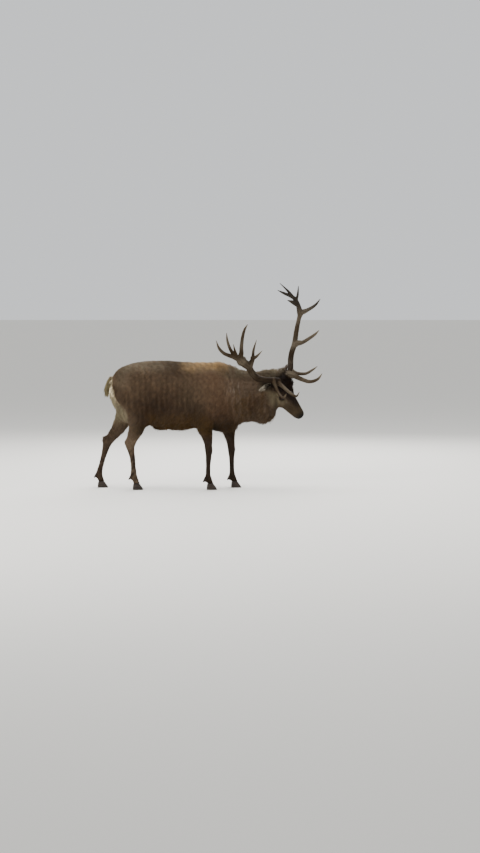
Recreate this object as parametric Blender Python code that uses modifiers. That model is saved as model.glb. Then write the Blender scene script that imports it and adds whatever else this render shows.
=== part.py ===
"""Red deer stag, life size, walking with its great neck level and its head bowed and turned.

+X is the way it walks, +Y its left side, +Z up, in metres. The hooves stand on z = 0 and the
origin is under the middle of the whole animal. The coat's outer surface is what the solids show.

The body is made whole from lofts and rounded muscles, melted into one surface, and parted by thin
cuts into trunk, neck, head and the lengths of the legs. Tail, ears, eyes, hooves and antlers are
solids of their own that meet it face to face.
"""

import bmesh
import bpy
import numpy as np
from mathutils import Matrix, Vector

# ---------------------------------------------------------------- driving sizes
# Every place below is drawn for a stag DRAWN_WITHERS high and then brought to WITHERS.
WITHERS = 1.15
DRAWN_WITHERS = 1.275
SCALE = WITHERS / DRAWN_WITHERS
CM = 0.01 / SCALE  # a real centimetre in the drawing's units, for the head and the antlers
GAP = 0.0006  # between two solids that meet
MELT = 0.011  # grain at which the body's shapes are melted together
BODY_TRIANGLES = 2950
CRUMB = 20  # a piece of the body with no more faces than this is a scrap between two cuts
CORONET_Z = 0.058  # where the hoof begins
LEG_SIDE = 0.118  # a hoof's distance from the middle plane

NAME = "red_deer_stag"

# The head's own axes: forehead to nose, to the stag's left, and out of the forehead.
# It is bowed by half a right angle and rolled, so that the right antler sinks back.
BROW = Vector((0.762, -0.06, 1.077))  # between the two burrs
NOSEWARD = Vector((0.565, -0.210, -0.798)).normalized()
UPWARD = Vector((0.381, -0.780, 0.496))
UPWARD = (UPWARD - NOSEWARD * UPWARD.dot(NOSEWARD)).normalized()
LEFTWARD = UPWARD.cross(NOSEWARD)
TO_SCENE = np.array([NOSEWARD, LEFTWARD, UPWARD])

FORE, HIND = "fore", "hind"
SIDES = {"right": -1.0, "left": 1.0}

COLOURS = {
    "coat": (0.115, 0.070, 0.043),
    "mane": (0.090, 0.055, 0.036),
    "face": (0.060, 0.040, 0.028),
    "leg": (0.070, 0.045, 0.030),
    "antler": (0.120, 0.090, 0.062),
    "hoof": (0.025, 0.022, 0.020),
    "eye": (0.012, 0.008, 0.006),
}
ROUGHNESS = {"antler": 0.6, "hoof": 0.45, "eye": 0.08}
BODY_LOOKS = {"neck": "mane", "head": "face"}

for old in list(bpy.data.objects):
    bpy.data.objects.remove(old)
parts = bpy.data.collections.new(NAME)
helpers = bpy.data.collections.new("cutters")
bpy.context.scene.collection.children.link(parts)
bpy.context.scene.collection.children.link(helpers)


# ---------------------------------------------------------------- how shapes are made
def material(name):
    made = bpy.data.materials.get(name)
    if made is None:
        made = bpy.data.materials.new(name)
        made.use_nodes = True
        shader = made.node_tree.nodes["Principled BSDF"]
        shader.inputs["Base Color"].default_value = (*COLOURS[name], 1)
        shader.inputs["Roughness"].default_value = ROUGHNESS.get(name, 0.9)
        shader.inputs["Metallic"].default_value = 0
    return made


def place(mesh, name, look=None):
    """Puts a mesh in the scene, as a part with its material, or as a cutter when it has none."""
    made = bpy.data.objects.new(name, mesh)
    if look:
        mesh.materials.append(material(look))
        mesh.shade_smooth()
        parts.objects.link(made)
    else:
        helpers.objects.link(made)
        made.hide_render = True
        made.display_type = "WIRE"
    return made


def flow(rows, count):
    """Rows of numbers carried smoothly from the first to the last, as a Catmull-Rom curve does."""
    rows = np.asarray(rows, float)
    ends = 2 * rows[0] - rows[1], 2 * rows[-1] - rows[-2]
    padded = np.vstack([ends[0], rows, ends[1]])
    at = np.linspace(0, len(rows) - 1, count)
    first = np.minimum(at.astype(int), len(rows) - 2)
    t = (at - first)[:, None]
    a, b, c, d = (padded[first + step] for step in range(4))
    return 0.5 * (2 * b + (c - a) * t + (2 * a - 5 * b + 4 * c - d) * t**2
                  + (3 * b - a - 3 * c + d) * t**3)


def unit(v):
    return v / np.maximum(np.linalg.norm(v, axis=-1, keepdims=True), 1e-9)


def axes(path, up):
    """Two axes square to the path at each of its points: across it, and as near to up as can be."""
    along = unit(np.gradient(path, axis=0))
    across = unit(np.cross(np.broadcast_to(up, path.shape), along))
    return across, np.cross(along, across)


def loft(rings):
    """One closed mesh from rings of equal point counts, its ends closed with a point each."""
    rings = np.asarray(rings, float)
    count, sides, _ = rings.shape
    points = [*rings.reshape(-1, 3), rings[0].mean(axis=0), rings[-1].mean(axis=0)]
    faces = []
    for i in range(count - 1):
        for j in range(sides):
            k = (j + 1) % sides
            faces.append((i * sides + j, i * sides + k, (i + 1) * sides + k))
            faces.append((i * sides + j, (i + 1) * sides + k, (i + 1) * sides + j))
    for j in range(sides):
        k = (j + 1) % sides
        faces.append((j, count * sides, k))
        faces.append(((count - 1) * sides + k, count * sides + 1, (count - 1) * sides + j))
    mesh = bpy.data.meshes.new("loft")
    mesh.from_pydata([tuple(p) for p in points], [], faces)
    shape = bmesh.new()
    shape.from_mesh(mesh)
    bmesh.ops.recalc_face_normals(shape, faces=shape.faces)
    shape.to_mesh(mesh)
    shape.free()
    return mesh


def oval(centres, across, up, wide, high, low, sides, pinch=0.0, square=1.0):
    """Rings round a path. A ring is wide to each side, high above and low below its centre, drawn
    in at the bottom by pinch, and nearer a box than an ellipse where square is under 1."""
    turn = np.linspace(0, 2 * np.pi, sides, endpoint=False)
    s, c = np.sin(turn), np.cos(turn)
    s, c = np.sign(s) * abs(s) ** square, np.sign(c) * abs(c) ** square
    drawn_in = np.multiply.outer(np.broadcast_to(pinch, wide.shape), (1 - c) / 2)
    width = wide[:, None] * s * (1 - drawn_in)
    height = np.where(c > 0, high[:, None] * c, low[:, None] * c)
    return (centres[:, None] + width[..., None] * across[:, None] + height[..., None] * up[:, None])


def tube(points, radii, count, sides=8, up=(0, 1, 0), flat=1.0):
    """A tapering round bar along points. Flat under 1 thins it along up."""
    rows = flow(np.column_stack([points, radii]), count)
    across, above = axes(rows[:, :3], np.array(up, float))
    r = rows[:, 3]
    return loft(oval(rows[:, :3], across, above, r, r * flat, r * flat, sides))


def ball(centre, size, lean=(0, 0, 0), sides=20):
    """A rounded muscle: a sphere stretched to size and turned by lean, in degrees about X, Y, Z."""
    shape = bmesh.new()
    bmesh.ops.create_uvsphere(shape, u_segments=sides, v_segments=sides // 2, radius=1)
    turned = Matrix.Identity(4)
    for angle, axis in zip(lean, "XYZ"):
        turned = Matrix.Rotation(np.radians(angle), 4, axis) @ turned
    shape.transform(Matrix.Translation(centre) @ turned @ Matrix.Diagonal((*size, 1)))
    mesh = bpy.data.meshes.new("ball")
    shape.to_mesh(mesh)
    shape.free()
    return mesh


def slab(name, centre, normal, size, thick=GAP):
    """A thin square cutter through centre, square to normal, reaching size[0] and size[1] each way."""
    shape = bmesh.new()
    bmesh.ops.create_cube(shape, size=1)
    turned = Vector(normal).to_track_quat("Z", "Y").to_matrix().to_4x4()
    stretched = Matrix.Diagonal((2 * size[0], 2 * size[1], thick, 1))
    shape.transform(Matrix.Translation(centre) @ turned @ stretched)
    mesh = bpy.data.meshes.new(name)
    shape.to_mesh(mesh)
    shape.free()
    return place(mesh, name)


def drum(name, foot, way, radius, length):
    """A round cutter that starts at foot and runs along way."""
    shape = bmesh.new()
    size = {"radius1": radius, "radius2": radius, "depth": length}
    bmesh.ops.create_cone(shape, cap_ends=True, segments=14, **size)
    turned = Vector(way).to_track_quat("Z", "Y").to_matrix().to_4x4()
    middle = Vector(foot) + Vector(way).normalized() * length / 2
    shape.transform(Matrix.Translation(middle) @ turned)
    mesh = bpy.data.meshes.new(name)
    shape.to_mesh(mesh)
    shape.free()
    return place(mesh, name)


def boolean(target, cutter, operation="DIFFERENCE", solver="EXACT"):
    step = target.modifiers.new(cutter.name, "BOOLEAN")
    step.operation = operation
    step.solver = solver
    step.object = cutter


def settle(target):
    """Replaces an object's mesh by what its modifiers make of it."""
    graph = bpy.context.evaluated_depsgraph_get()
    finished = bpy.data.meshes.new_from_object(target.evaluated_get(graph))
    target.modifiers.clear()
    target.data = finished
    return target


def join(meshes, name):
    whole = bmesh.new()
    for mesh in meshes:
        whole.from_mesh(mesh)
    made = bpy.data.meshes.new(name)
    whole.to_mesh(made)
    whole.free()
    return made


def in_head(forward, left, up):
    """A place given from between the burrs, in real centimetres along the head's axes."""
    return BROW + (NOSEWARD * forward + LEFTWARD * left + UPWARD * up) * CM


# ---------------------------------------------------------------- trunk and neck
# Upright sections from rump to chest: x, z of the back, z of the belly, half width, z of the widest.
TRUNK = [
    (-0.945, 1.100, 0.900, 0.060, 1.00),
    (-0.915, 1.165, 0.830, 0.125, 1.00),
    (-0.840, 1.222, 0.740, 0.185, 0.99),
    (-0.735, 1.262, 0.670, 0.212, 0.98),
    (-0.620, 1.279, 0.640, 0.220, 0.95),
    (-0.500, 1.285, 0.622, 0.236, 0.92),
    (-0.370, 1.284, 0.602, 0.250, 0.89),
    (-0.240, 1.273, 0.612, 0.250, 0.89),
    (-0.110, 1.268, 0.620, 0.236, 0.91),
    (0.020, 1.269, 0.600, 0.214, 0.92),
    (0.130, 1.262, 0.585, 0.200, 0.91),
    (0.230, 1.226, 0.610, 0.185, 0.90),
    (0.310, 1.160, 0.680, 0.140, 0.90),
    (0.350, 1.050, 0.800, 0.070, 0.92),
]

# The neck's middle line from between the shoulders to the skull: place, half width, height above
# and below the line, and how far its upper side has turned from straight up to the head's own up.
NECK = [
    (0.060, 0.000, 0.950, 0.170, 0.290, 0.300, 0.0),
    (0.200, 0.000, 0.940, 0.178, 0.290, 0.300, 0.0),
    (0.330, 0.000, 0.930, 0.172, 0.256, 0.272, 0.0),
    (0.450, 0.000, 0.930, 0.160, 0.250, 0.250, 0.05),
    (0.560, 0.004, 0.948, 0.142, 0.240, 0.264, 0.10),
    (0.615, 0.014, 0.975, 0.126, 0.218, 0.200, 0.3),
    (0.675, 0.016, 1.018, 0.104, 0.175, 0.150, 0.7),
    (0.730, 0.004, 1.062, 0.078, 0.115, 0.110, 1.0),
]


def trunk_mesh():
    x, top, bottom, wide, middle = flow(TRUNK, 46).T
    centres = np.column_stack([x, 0 * x, middle])
    across = np.broadcast_to((0.0, 1.0, 0.0), centres.shape)
    up = np.broadcast_to((0.0, 0.0, 1.0), centres.shape)
    return loft(oval(centres, across, up, wide, top - middle, middle - bottom, 32, 0.12, 0.92))


def neck_mesh():
    rows = flow(NECK, 30)
    turned = rows[:, 6:7]
    up = unit((1 - turned) * np.array([0, 0, 1.0]) + turned * np.array(UPWARD))
    across, above = axes(rows[:, :3], up)
    return loft(oval(rows[:, :3], across, above, rows[:, 3], rows[:, 4], rows[:, 5], 28, 0.10))


# ---------------------------------------------------------------- head
# Sections across the head from the back of the skull to the nose, in real centimetres: how far
# forward, the top of the profile, its underside, half width, and how much the jaw is drawn in.
HEAD = [
    (-9.5, -5.0, -11.0, 3.6, 0.10),
    (-7.0, -2.4, -14.5, 6.0, 0.15),
    (-3.0, -0.5, -18.5, 6.9, 0.22),
    (1.0, 0.2, -21.4, 7.1, 0.22),
    (5.0, 0.2, -23.0, 7.3, 0.20),
    (9.0, -0.2, -23.6, 7.4, 0.18),
    (13.0, -1.0, -23.2, 6.8, 0.14),
    (18.0, -2.0, -21.6, 5.7, 0.11),
    (24.0, -2.8, -19.2, 4.9, 0.10),
    (29.0, -3.2, -17.0, 4.5, 0.10),
    (32.4, -3.8, -15.2, 4.2, 0.10),
    (34.6, -4.8, -13.2, 3.5, 0.08),
    (35.6, -6.6, -10.8, 2.1, 0.05),
]
EYE = (10.8, 6.5, -7.6)
EYE_RADIUS = 1.75
EYE_SIDES = 12
PEDICLE = (0.2, 5.4, -1.6)
BURR = (-1.8, 7.2, 1.4)
EAR_ROOT = (-4.6, 7.0, -3.6)
EAR_LENGTH = 20.5
# Each ear's way from its root, along the head's axes. The right stands out and the left lies back.
EAR_WAY = {"right": (0.02, 0.98, 0.17), "left": (-0.52, 0.78, -0.42)}
EAR_STUB = 3.0

# An ear's sections from root to tip: place along it, half width and half thickness.
EAR = [
    (0.0, 2.6, 2.3),
    (0.2, 3.7, 2.0),
    (0.45, 4.6, 1.6),
    (0.7, 3.8, 1.2),
    (0.88, 2.1, 0.8),
    (1.0, 0.4, 0.4),
]


def mirrored(place_in_head, sign):
    return in_head(place_in_head[0], sign * place_in_head[1], place_in_head[2])


def ear_way(side):
    forward, out, up = EAR_WAY[side]
    return (NOSEWARD * forward + LEFTWARD * out * SIDES[side] + UPWARD * up).normalized()


def head_meshes():
    f, top, bottom, wide, jaw = (flow(HEAD, 40) * (CM, CM, CM, CM, 1)).T
    middle = top + (bottom - top) * 0.36
    centres = np.array(BROW) + np.column_stack([f, 0 * f, middle]) @ TO_SCENE
    across = np.broadcast_to(LEFTWARD, centres.shape)
    up = np.broadcast_to(UPWARD, centres.shape)
    made = [loft(oval(centres, across, up, wide, top - middle, middle - bottom, 28, jaw, 0.80))]
    # Throat and poll, where the neck's hair closes round the skull.
    made.append(ball((0.752, 0.048, 0.872), (0.072, 0.062, 0.066)))
    made.append(ball((0.630, 0.010, 1.088), (0.185, 0.098, 0.100)))
    made.append(ball((0.768, 0.046, 1.140), (0.055, 0.045, 0.062)))
    for side, sign in SIDES.items():
        brow_ridge = mirrored((9.4, 6.1, -5.6), sign)
        frontal = mirrored((4.2, 5.2, -2.2), sign)
        cheek = mirrored((5.0, 4.6, -12.5), sign)
        for centre, size in ((brow_ridge, 2.7), (frontal, 3.4), (cheek, 4.2)):
            made.append(ball(centre, (size * CM,) * 3))
        foot, burr = mirrored(PEDICLE, sign), mirrored(BURR, sign)
        made.append(tube([foot, (foot + burr) / 2, burr + (burr - foot) * 0.2], [3.0 * CM] * 3, 8, 14))
        root = mirrored(EAR_ROOT, sign)
        out = ear_way(side)
        made.append(tube([root - out * 2 * CM, root, root + out * (EAR_STUB + 1.5) * CM],
                         [3.2 * CM, 2.9 * CM, 2.4 * CM], 8, 14, UPWARD))
    return made


# ---------------------------------------------------------------- legs
# Each leg from the body down to the coronet: x, z, half its depth fore and aft, half its width.
# The right foreleg is set back and the left one reaches; the left hind leg trails.
LEGS = {
    (FORE, "right"): [
        (-0.010, 0.800, 0.120, 0.070), (-0.015, 0.680, 0.094, 0.066), (-0.006, 0.590, 0.070, 0.055),
        (0.008, 0.500, 0.052, 0.045), (0.016, 0.430, 0.043, 0.039), (0.021, 0.385, 0.044, 0.040),
        (0.018, 0.340, 0.036, 0.034), (0.014, 0.250, 0.030, 0.026), (0.012, 0.165, 0.031, 0.027),
        (0.013, 0.122, 0.037, 0.034), (0.028, 0.085, 0.033, 0.032), (0.043, 0.040, 0.038, 0.034)],
    (FORE, "left"): [
        (0.170, 0.800, 0.120, 0.070), (0.195, 0.680, 0.094, 0.066), (0.216, 0.590, 0.072, 0.056),
        (0.230, 0.500, 0.052, 0.045), (0.240, 0.430, 0.044, 0.040), (0.244, 0.385, 0.045, 0.041),
        (0.245, 0.340, 0.037, 0.035), (0.247, 0.250, 0.031, 0.027), (0.250, 0.165, 0.031, 0.027),
        (0.252, 0.122, 0.037, 0.034), (0.268, 0.085, 0.033, 0.032), (0.284, 0.040, 0.038, 0.034)],
    (HIND, "right"): [
        (-0.770, 0.960, 0.180, 0.100), (-0.725, 0.800, 0.150, 0.092), (-0.690, 0.690, 0.112, 0.072),
        (-0.708, 0.600, 0.083, 0.054), (-0.738, 0.520, 0.062, 0.043), (-0.762, 0.455, 0.057, 0.041),
        (-0.757, 0.400, 0.043, 0.036), (-0.742, 0.320, 0.033, 0.029), (-0.732, 0.220, 0.031, 0.027),
        (-0.729, 0.145, 0.037, 0.034), (-0.712, 0.095, 0.034, 0.032), (-0.694, 0.040, 0.039, 0.034)],
    (HIND, "left"): [
        (-0.790, 0.960, 0.170, 0.100), (-0.800, 0.820, 0.130, 0.090), (-0.838, 0.710, 0.098, 0.070),
        (-0.893, 0.610, 0.076, 0.052), (-0.955, 0.525, 0.056, 0.042), (-1.003, 0.465, 0.054, 0.041),
        (-1.022, 0.405, 0.042, 0.036), (-1.046, 0.320, 0.033, 0.029), (-1.074, 0.220, 0.031, 0.027),
        (-1.092, 0.145, 0.037, 0.034), (-1.080, 0.095, 0.034, 0.032), (-1.062, 0.040, 0.039, 0.034)],
}
# How far a leg stands from the middle plane, at its top and at its foot.
LEG_TOP_SIDE = {FORE: 0.120, HIND: 0.112}
DEWCLAW = (0.022, 0.014, 0.024)


def leg_mesh(which, side):
    rows = flow(LEGS[which, side], 40)
    x, z, deep, wide = rows.T
    down = np.clip((0.80 - z) / 0.5, 0, 1)
    y = SIDES[side] * (LEG_TOP_SIDE[which] * (1 - down) + LEG_SIDE * down)
    path = np.column_stack([x, y, z])
    across, fore = axes(path, np.array((1.0, 0, 0)))
    return loft(oval(path, across, fore, wide, deep, deep, 16))


def muscle_meshes():
    made = []
    for sign in SIDES.values():
        made.append(ball((0.120, sign * 0.125, 0.930), (0.150, 0.075, 0.235), (0, 14, 0)))
        made.append(ball((0.000, sign * 0.125, 0.800), (0.130, 0.075, 0.130)))
        made.append(ball((-0.730, sign * 0.110, 1.100), (0.210, 0.100, 0.150)))
        made.append(ball((-0.800, sign * 0.118, 0.930), (0.150, 0.095, 0.220), (0, -16, 0)))
        made.append(ball((-0.600, sign * 0.125, 0.780), (0.120, 0.080, 0.170), (0, 26, 0)))
    for which, side in LEGS:
        x, z, deep, _ = LEGS[which, side][5]
        y = SIDES[side] * LEG_SIDE
        if which == HIND:
            made.append(ball((x - 0.038, y, z + 0.028), (0.026, 0.022, 0.046), (0, 12, 0)))
        else:
            made.append(ball((x - 0.075, SIDES[side] * 0.118, 0.660), (0.050, 0.040, 0.075)))
        x, z, deep, _ = LEGS[which, side][9]
        for step in (-1, 1):
            made.append(ball((x - deep, y + step * 0.018, z - 0.026), DEWCLAW, (0, 30, 0), 10))
    # Breastbone, belly sheath and the fold between the thighs.
    made.append(ball((0.150, 0, 0.665), (0.170, 0.110, 0.070)))
    made.append(ball((-0.430, 0, 0.622), (0.110, 0.040, 0.036), (0, -6, 0)))
    made.append(ball((-0.800, 0, 0.860), (0.120, 0.100, 0.200)))
    return made


# ---------------------------------------------------------------- the body, melted and parted
def melted_body():
    legs = [leg_mesh(*leg) for leg in LEGS]
    meshes = [trunk_mesh(), neck_mesh(), *head_meshes(), *legs, *muscle_meshes()]
    body = place(join(meshes, "body"), "body")
    melt = body.modifiers.new("melt", "REMESH")
    melt.mode = "VOXEL"
    melt.voxel_size = MELT
    ease = body.modifiers.new("ease", "SMOOTH")
    ease.factor = 0.5
    ease.iterations = 8
    settle(body)
    body.data.calc_loop_triangles()
    thin = body.modifiers.new("thin", "DECIMATE")
    thin.ratio = BODY_TRIANGLES / len(body.data.loop_triangles)
    return settle(body)


def trim_for_neighbours(body):
    """Flattens the body where hooves, ears and antlers start, and opens the eye sockets."""
    boolean(body, slab("cut_coronets", (0, 0, CORONET_Z - 0.1 + GAP), (0, 0, 1), (2, 1), 0.2))
    boolean(body, place(tail_mesh(GAP), "clear_tail"))
    for side, sign in SIDES.items():
        foot, burr = mirrored(PEDICLE, sign), mirrored(BURR, sign)
        way = (burr - foot).normalized()
        boolean(body, drum(f"cut_burr_{side}", burr - way * GAP, way, 4.6 * CM, 6 * CM))
        grown_beam = loft(beam_rings(*antler_line(side)[:2], 1.5 * GAP)[0])
        boolean(body, place(grown_beam, f"cut_antler_{side}"))
        out = ear_way(side)
        start = mirrored(EAR_ROOT, sign) + out * EAR_STUB * CM
        boolean(body, drum(f"cut_ear_{side}", start - out * GAP, out, 4.4 * CM, 8 * CM))
        boolean(body, place(ear_mesh(side, GAP), f"clear_ear_{side}"))
        socket = ball(mirrored(EYE, sign), (EYE_RADIUS * CM + GAP,) * 3, sides=EYE_SIDES)
        boolean(body, place(socket, f"cut_eye_{side}"))
    return settle(body)


def part_body(body):
    """Cuts the body through neck, nape, shoulders, thighs, knees and hocks, and names its lengths."""
    cuts = [
        slab("cut_neck", (0.235, 0, 0.92), (0.96, 0, 0.28), (0.5, 0.45)),
        slab("cut_nape", (0.648, 0.02, 1.02), (0.86, -0.42, -0.29), (0.45, 0.45)),
        slab("cut_thighs", (-0.760, 0, 0.835), (0.669, 0, 0.743), (0.40, 0.40)),
        slab("cut_between_thighs", (-0.90, 0, 0.700), (0, 1, 0), (0.45, 0.45)),
    ]
    for (which, side), rows in LEGS.items():
        sign = SIDES[side]
        if which == FORE:
            armpit = (rows[1][0], sign * 0.150, 0.664)
            cuts.append(slab(f"cut_elbow_{side}", armpit, (0, -sign * 0.583, 0.812), (0.118, 0.145)))
            joint, normal = rows[4], (0, 0, 1)
        else:
            joint = rows[4]
            normal = (rows[3][0] - rows[5][0], 0, rows[3][1] - rows[5][1])
        centre = (joint[0], sign * LEG_SIDE, joint[1])
        cuts.append(slab(f"cut_{which}_{side}_joint", centre, normal, (0.11, 0.11)))
    for cut in cuts:
        boolean(body, cut)
        settle(body)

    shape = bmesh.new()
    shape.from_mesh(body.data)
    pieces = []
    waiting = set(shape.faces)
    while waiting:
        front = [waiting.pop()]
        piece = set(front)
        while front:
            for edge in front.pop().edges:
                for face in edge.link_faces:
                    if face in waiting:
                        waiting.discard(face)
                        piece.add(face)
                        front.append(face)
        if len(piece) > CRUMB:
            pieces.append(piece)
    found = {}
    for piece in pieces:
        places = np.array([v.co for face in piece for v in face.verts])
        found[name_of_piece(places.min(axis=0), places.max(axis=0))] = piece
    if len(found) != len(pieces) or len(pieces) != 11:
        raise ValueError(f"the cuts left {len(pieces)} pieces: {sorted(found)}")
    made = {}
    for name in sorted(found):
        keep = {v for face in found[name] for v in face.verts}
        copy = shape.copy()
        copy.verts.ensure_lookup_table()
        spare = [copy.verts[v.index] for v in shape.verts if v not in keep]
        bmesh.ops.delete(copy, geom=spare, context="VERTS")
        mesh = bpy.data.meshes.new(name)
        copy.to_mesh(mesh)
        copy.free()
        look = BODY_LOOKS.get(name, "leg" if "lower" in name else "coat")
        made[name] = place(mesh, name, look)
    shape.free()
    bpy.data.objects.remove(body)
    return made


def name_of_piece(low, high):
    x, y, z = (low + high) / 2
    if high[2] > 1.1 and low[0] < -0.5:
        return "trunk"
    if high[0] > 0.8:
        return "head"
    if high[2] > 1.1 and x > 0.2:
        return "neck"
    which = FORE if x > -0.3 else HIND
    side = "left" if y > 0 else "right"
    return f"{which}leg_{side}_{'lower' if low[2] < 0.1 else 'upper'}"


# ---------------------------------------------------------------- tail, ears, eyes, hooves
def tail_mesh(extra=0.0):
    path = [(-0.940, 0, 1.128), (-0.972, 0, 1.090), (-1.000, 0, 1.030), (-1.016, 0, 0.975), (-1.004, 0, 0.935)]
    thick = np.array([0.020, 0.027, 0.028, 0.022, 0.006]) + extra
    return tube([(-0.940 + extra, 0, 1.128 + extra), *path[1:]], thick, 10, 10, (1, 0, 0), 0.72)


def ear_mesh(side, extra=0.0):
    """A cupped leaf: narrow at its root, widest near the middle and pointed, hollow on its front.
    With extra added to its thickness it is the cutter that clears the head for it."""
    root, out = mirrored(EAR_ROOT, SIDES[side]), ear_way(side)
    front = (NOSEWARD * 0.80 + UPWARD * 0.35).normalized()
    front = (front - out * front.dot(out)).normalized()
    spread = out.cross(front)
    rings = []
    for at, wide, thick in flow(EAR, 8):
        centre = root + out * ((EAR_STUB + at * (EAR_LENGTH - EAR_STUB)) * CM - extra)
        cup = 0.9 * np.sin(np.pi * at)
        ring = []
        for turn in np.linspace(0, 2 * np.pi, 10, endpoint=False):
            across = (wide * CM + extra) * np.sin(turn)
            above = (thick * CM + extra) * np.cos(turn) + cup * CM * (np.sin(turn) ** 2 - 0.5)
            ring.append(centre + spread * float(across) + front * float(above))
        rings.append(ring)
    return loft(rings)


def make_ear(side):
    ear = place(ear_mesh(side), f"ear_{side}", "face")
    boolean(ear, bpy.data.objects[f"cut_antler_{side}"], solver="MANIFOLD")
    settle(ear)


def make_eye(side):
    globe = ball(mirrored(EYE, SIDES[side]), (EYE_RADIUS * CM,) * 3, sides=EYE_SIDES)
    place(globe, f"eye_{side}", "eye")


# A claw's level sections from the coronet to the sole: z, heel, toe, half width.
CLAW = [
    (CORONET_Z, -0.040, 0.022, 0.0165),
    (0.036, -0.043, 0.038, 0.0180),
    (0.003, -0.045, 0.060, 0.0190),
    (0.000, -0.043, 0.058, 0.0180),
]
CLAW_SIDE = 0.0200


def make_claw(which, side, step):
    x, z, _, _ = LEGS[which, side][11]
    y = SIDES[side] * LEG_SIDE + step * CLAW_SIDE
    turn = np.linspace(0, 2 * np.pi, 8, endpoint=False)
    rings = []
    for height, heel, toe, wide in CLAW:
        along = np.cos(turn)
        length = np.where(along > 0, toe * along, -heel * along)
        point = 1 - 0.35 * np.clip(along, 0, 1) ** 2
        rings.append(np.column_stack([x + length, y + wide * np.sin(turn) * point, 0 * turn + height]))
    inner = "inner" if step * SIDES[side] < 0 else "outer"
    return place(loft(rings), f"hoof_{which}_{side}_{inner}", "hoof")


# ---------------------------------------------------------------- antlers
# Middle lines from root to tip, each with its thickness at the root. The right antler has sunk back
# beside the neck, and the left one stands up. A beam is read from burr to crown, and the crown's
# tines and the fork of the bay start from it.
BEAM = {
    "right": [(0.664, -0.162, 1.093), (0.570, -0.200, 1.098), (0.492, -0.235, 1.120), (0.444, -0.285, 1.178),
              (0.417, -0.340, 1.228), (0.382, -0.415, 1.262), (0.350, -0.465, 1.290)],
    "left": [(0.833, -0.012, 1.186), (0.836, 0.025, 1.235), (0.838, 0.058, 1.290), (0.848, 0.068, 1.360),
             (0.876, 0.064, 1.450), (0.896, 0.066, 1.580), (0.920, 0.060, 1.700), (0.938, 0.050, 1.765)],
}
FORK_AT = {"right": 4, "left": 4}
BEAM_RADII = {"right": (2.6, 3.1, 3.8, 3.6), "left": (2.7, 2.45, 1.95, 2.9)}
CORONET_RADII = (3.7, 3.2)
TINES = {
    "right": {
        "brow": [(1.50, (0.700, -0.140, 1.075), (0.755, -0.185, 1.030), (0.800, -0.235, 0.992),
                  (0.850, -0.300, 0.955), (0.885, -0.365, 0.945), (0.910, -0.450, 0.990))],
        "bez": [(1.35, (0.657, -0.172, 1.100), (0.683, -0.212, 1.030), (0.710, -0.270, 0.970),
                 (0.738, -0.335, 0.936), (0.760, -0.395, 0.934), (0.783, -0.450, 0.972))],
        "trez": [(1.40, (0.417, -0.340, 1.228), (0.452, -0.430, 1.318), (0.462, -0.505, 1.400), (0.490, -0.590, 1.500)),
                 (1.35, (0.450, -0.430, 1.318), (0.490, -0.510, 1.337), (0.545, -0.600, 1.395)),
                 (2.30, (0.417, -0.340, 1.228), (0.453, -0.420, 1.302), (0.474, -0.470, 1.340))],
        "crown": [(2.00, (0.319, -0.505, 1.313), (0.282, -0.540, 1.329), (0.235, -0.570, 1.344),
                   (0.175, -0.600, 1.370), (0.128, -0.640, 1.420), (0.100, -0.680, 1.495)),
                  (3.40, (0.350, -0.465, 1.290), (0.315, -0.508, 1.312), (0.270, -0.545, 1.331)),
                  (1.50, (0.300, -0.525, 1.325), (0.258, -0.545, 1.372), (0.229, -0.580, 1.425),
                   (0.208, -0.620, 1.495), (0.200, -0.650, 1.570)),
                  (1.30, (0.300, -0.525, 1.320), (0.285, -0.550, 1.375), (0.265, -0.600, 1.460)),
                  (1.80, (0.328, -0.500, 1.318), (0.343, -0.515, 1.370), (0.344, -0.520, 1.430),
                   (0.356, -0.518, 1.530), (0.376, -0.512, 1.600), (0.405, -0.510, 1.650))],
    },
    "left": {
        "brow": [(2.20, (0.820, -0.030, 1.154), (0.878, -0.066, 1.130), (0.945, -0.090, 1.100),
                  (1.025, -0.130, 1.078), (1.098, -0.195, 1.105), (1.142, -0.255, 1.165))],
        "bez": [(1.55, (0.834, -0.008, 1.190), (0.890, -0.034, 1.160), (0.980, -0.078, 1.156),
                 (1.045, -0.100, 1.190), (1.100, -0.130, 1.232))],
        "trez": [(1.75, (0.876, 0.064, 1.450), (0.950, 0.010, 1.464), (1.030, -0.085, 1.515),
                  (1.075, -0.150, 1.550), (1.112, -0.200, 1.590))],
        "crown": [(1.85, (0.938, 0.050, 1.765), (0.975, 0.052, 1.775), (1.030, 0.058, 1.802),
                   (1.088, 0.068, 1.842), (1.136, 0.078, 1.902)),
                  (1.50, (0.935, 0.045, 1.750), (0.915, 0.020, 1.820), (0.894, -0.005, 1.880),
                   (0.905, -0.032, 1.945), (0.912, -0.048, 2.030)),
                  (2.00, (0.935, 0.045, 1.750), (0.905, 0.015, 1.850), (0.870, -0.015, 1.905),
                   (0.830, -0.045, 1.928), (0.765, -0.090, 1.955), (0.700, -0.128, 1.985)),
                  (1.10, (0.850, -0.030, 1.920), (0.808, -0.075, 1.975), (0.722, -0.125, 2.055)),
                  (1.80, (0.900, 0.010, 1.850), (0.850, -0.035, 1.868), (0.799, -0.068, 1.886))],
    },
}
TINE_TIP = 0.30
TINE_SIDES = 7


def tine_mesh(line, count=6, extra=0.0):
    thick, *points = line
    radii = thick * CM * np.linspace(1, 0, len(points)) ** 0.5 + TINE_TIP * CM + extra
    return tube(points, radii, count, TINE_SIDES)


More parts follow.
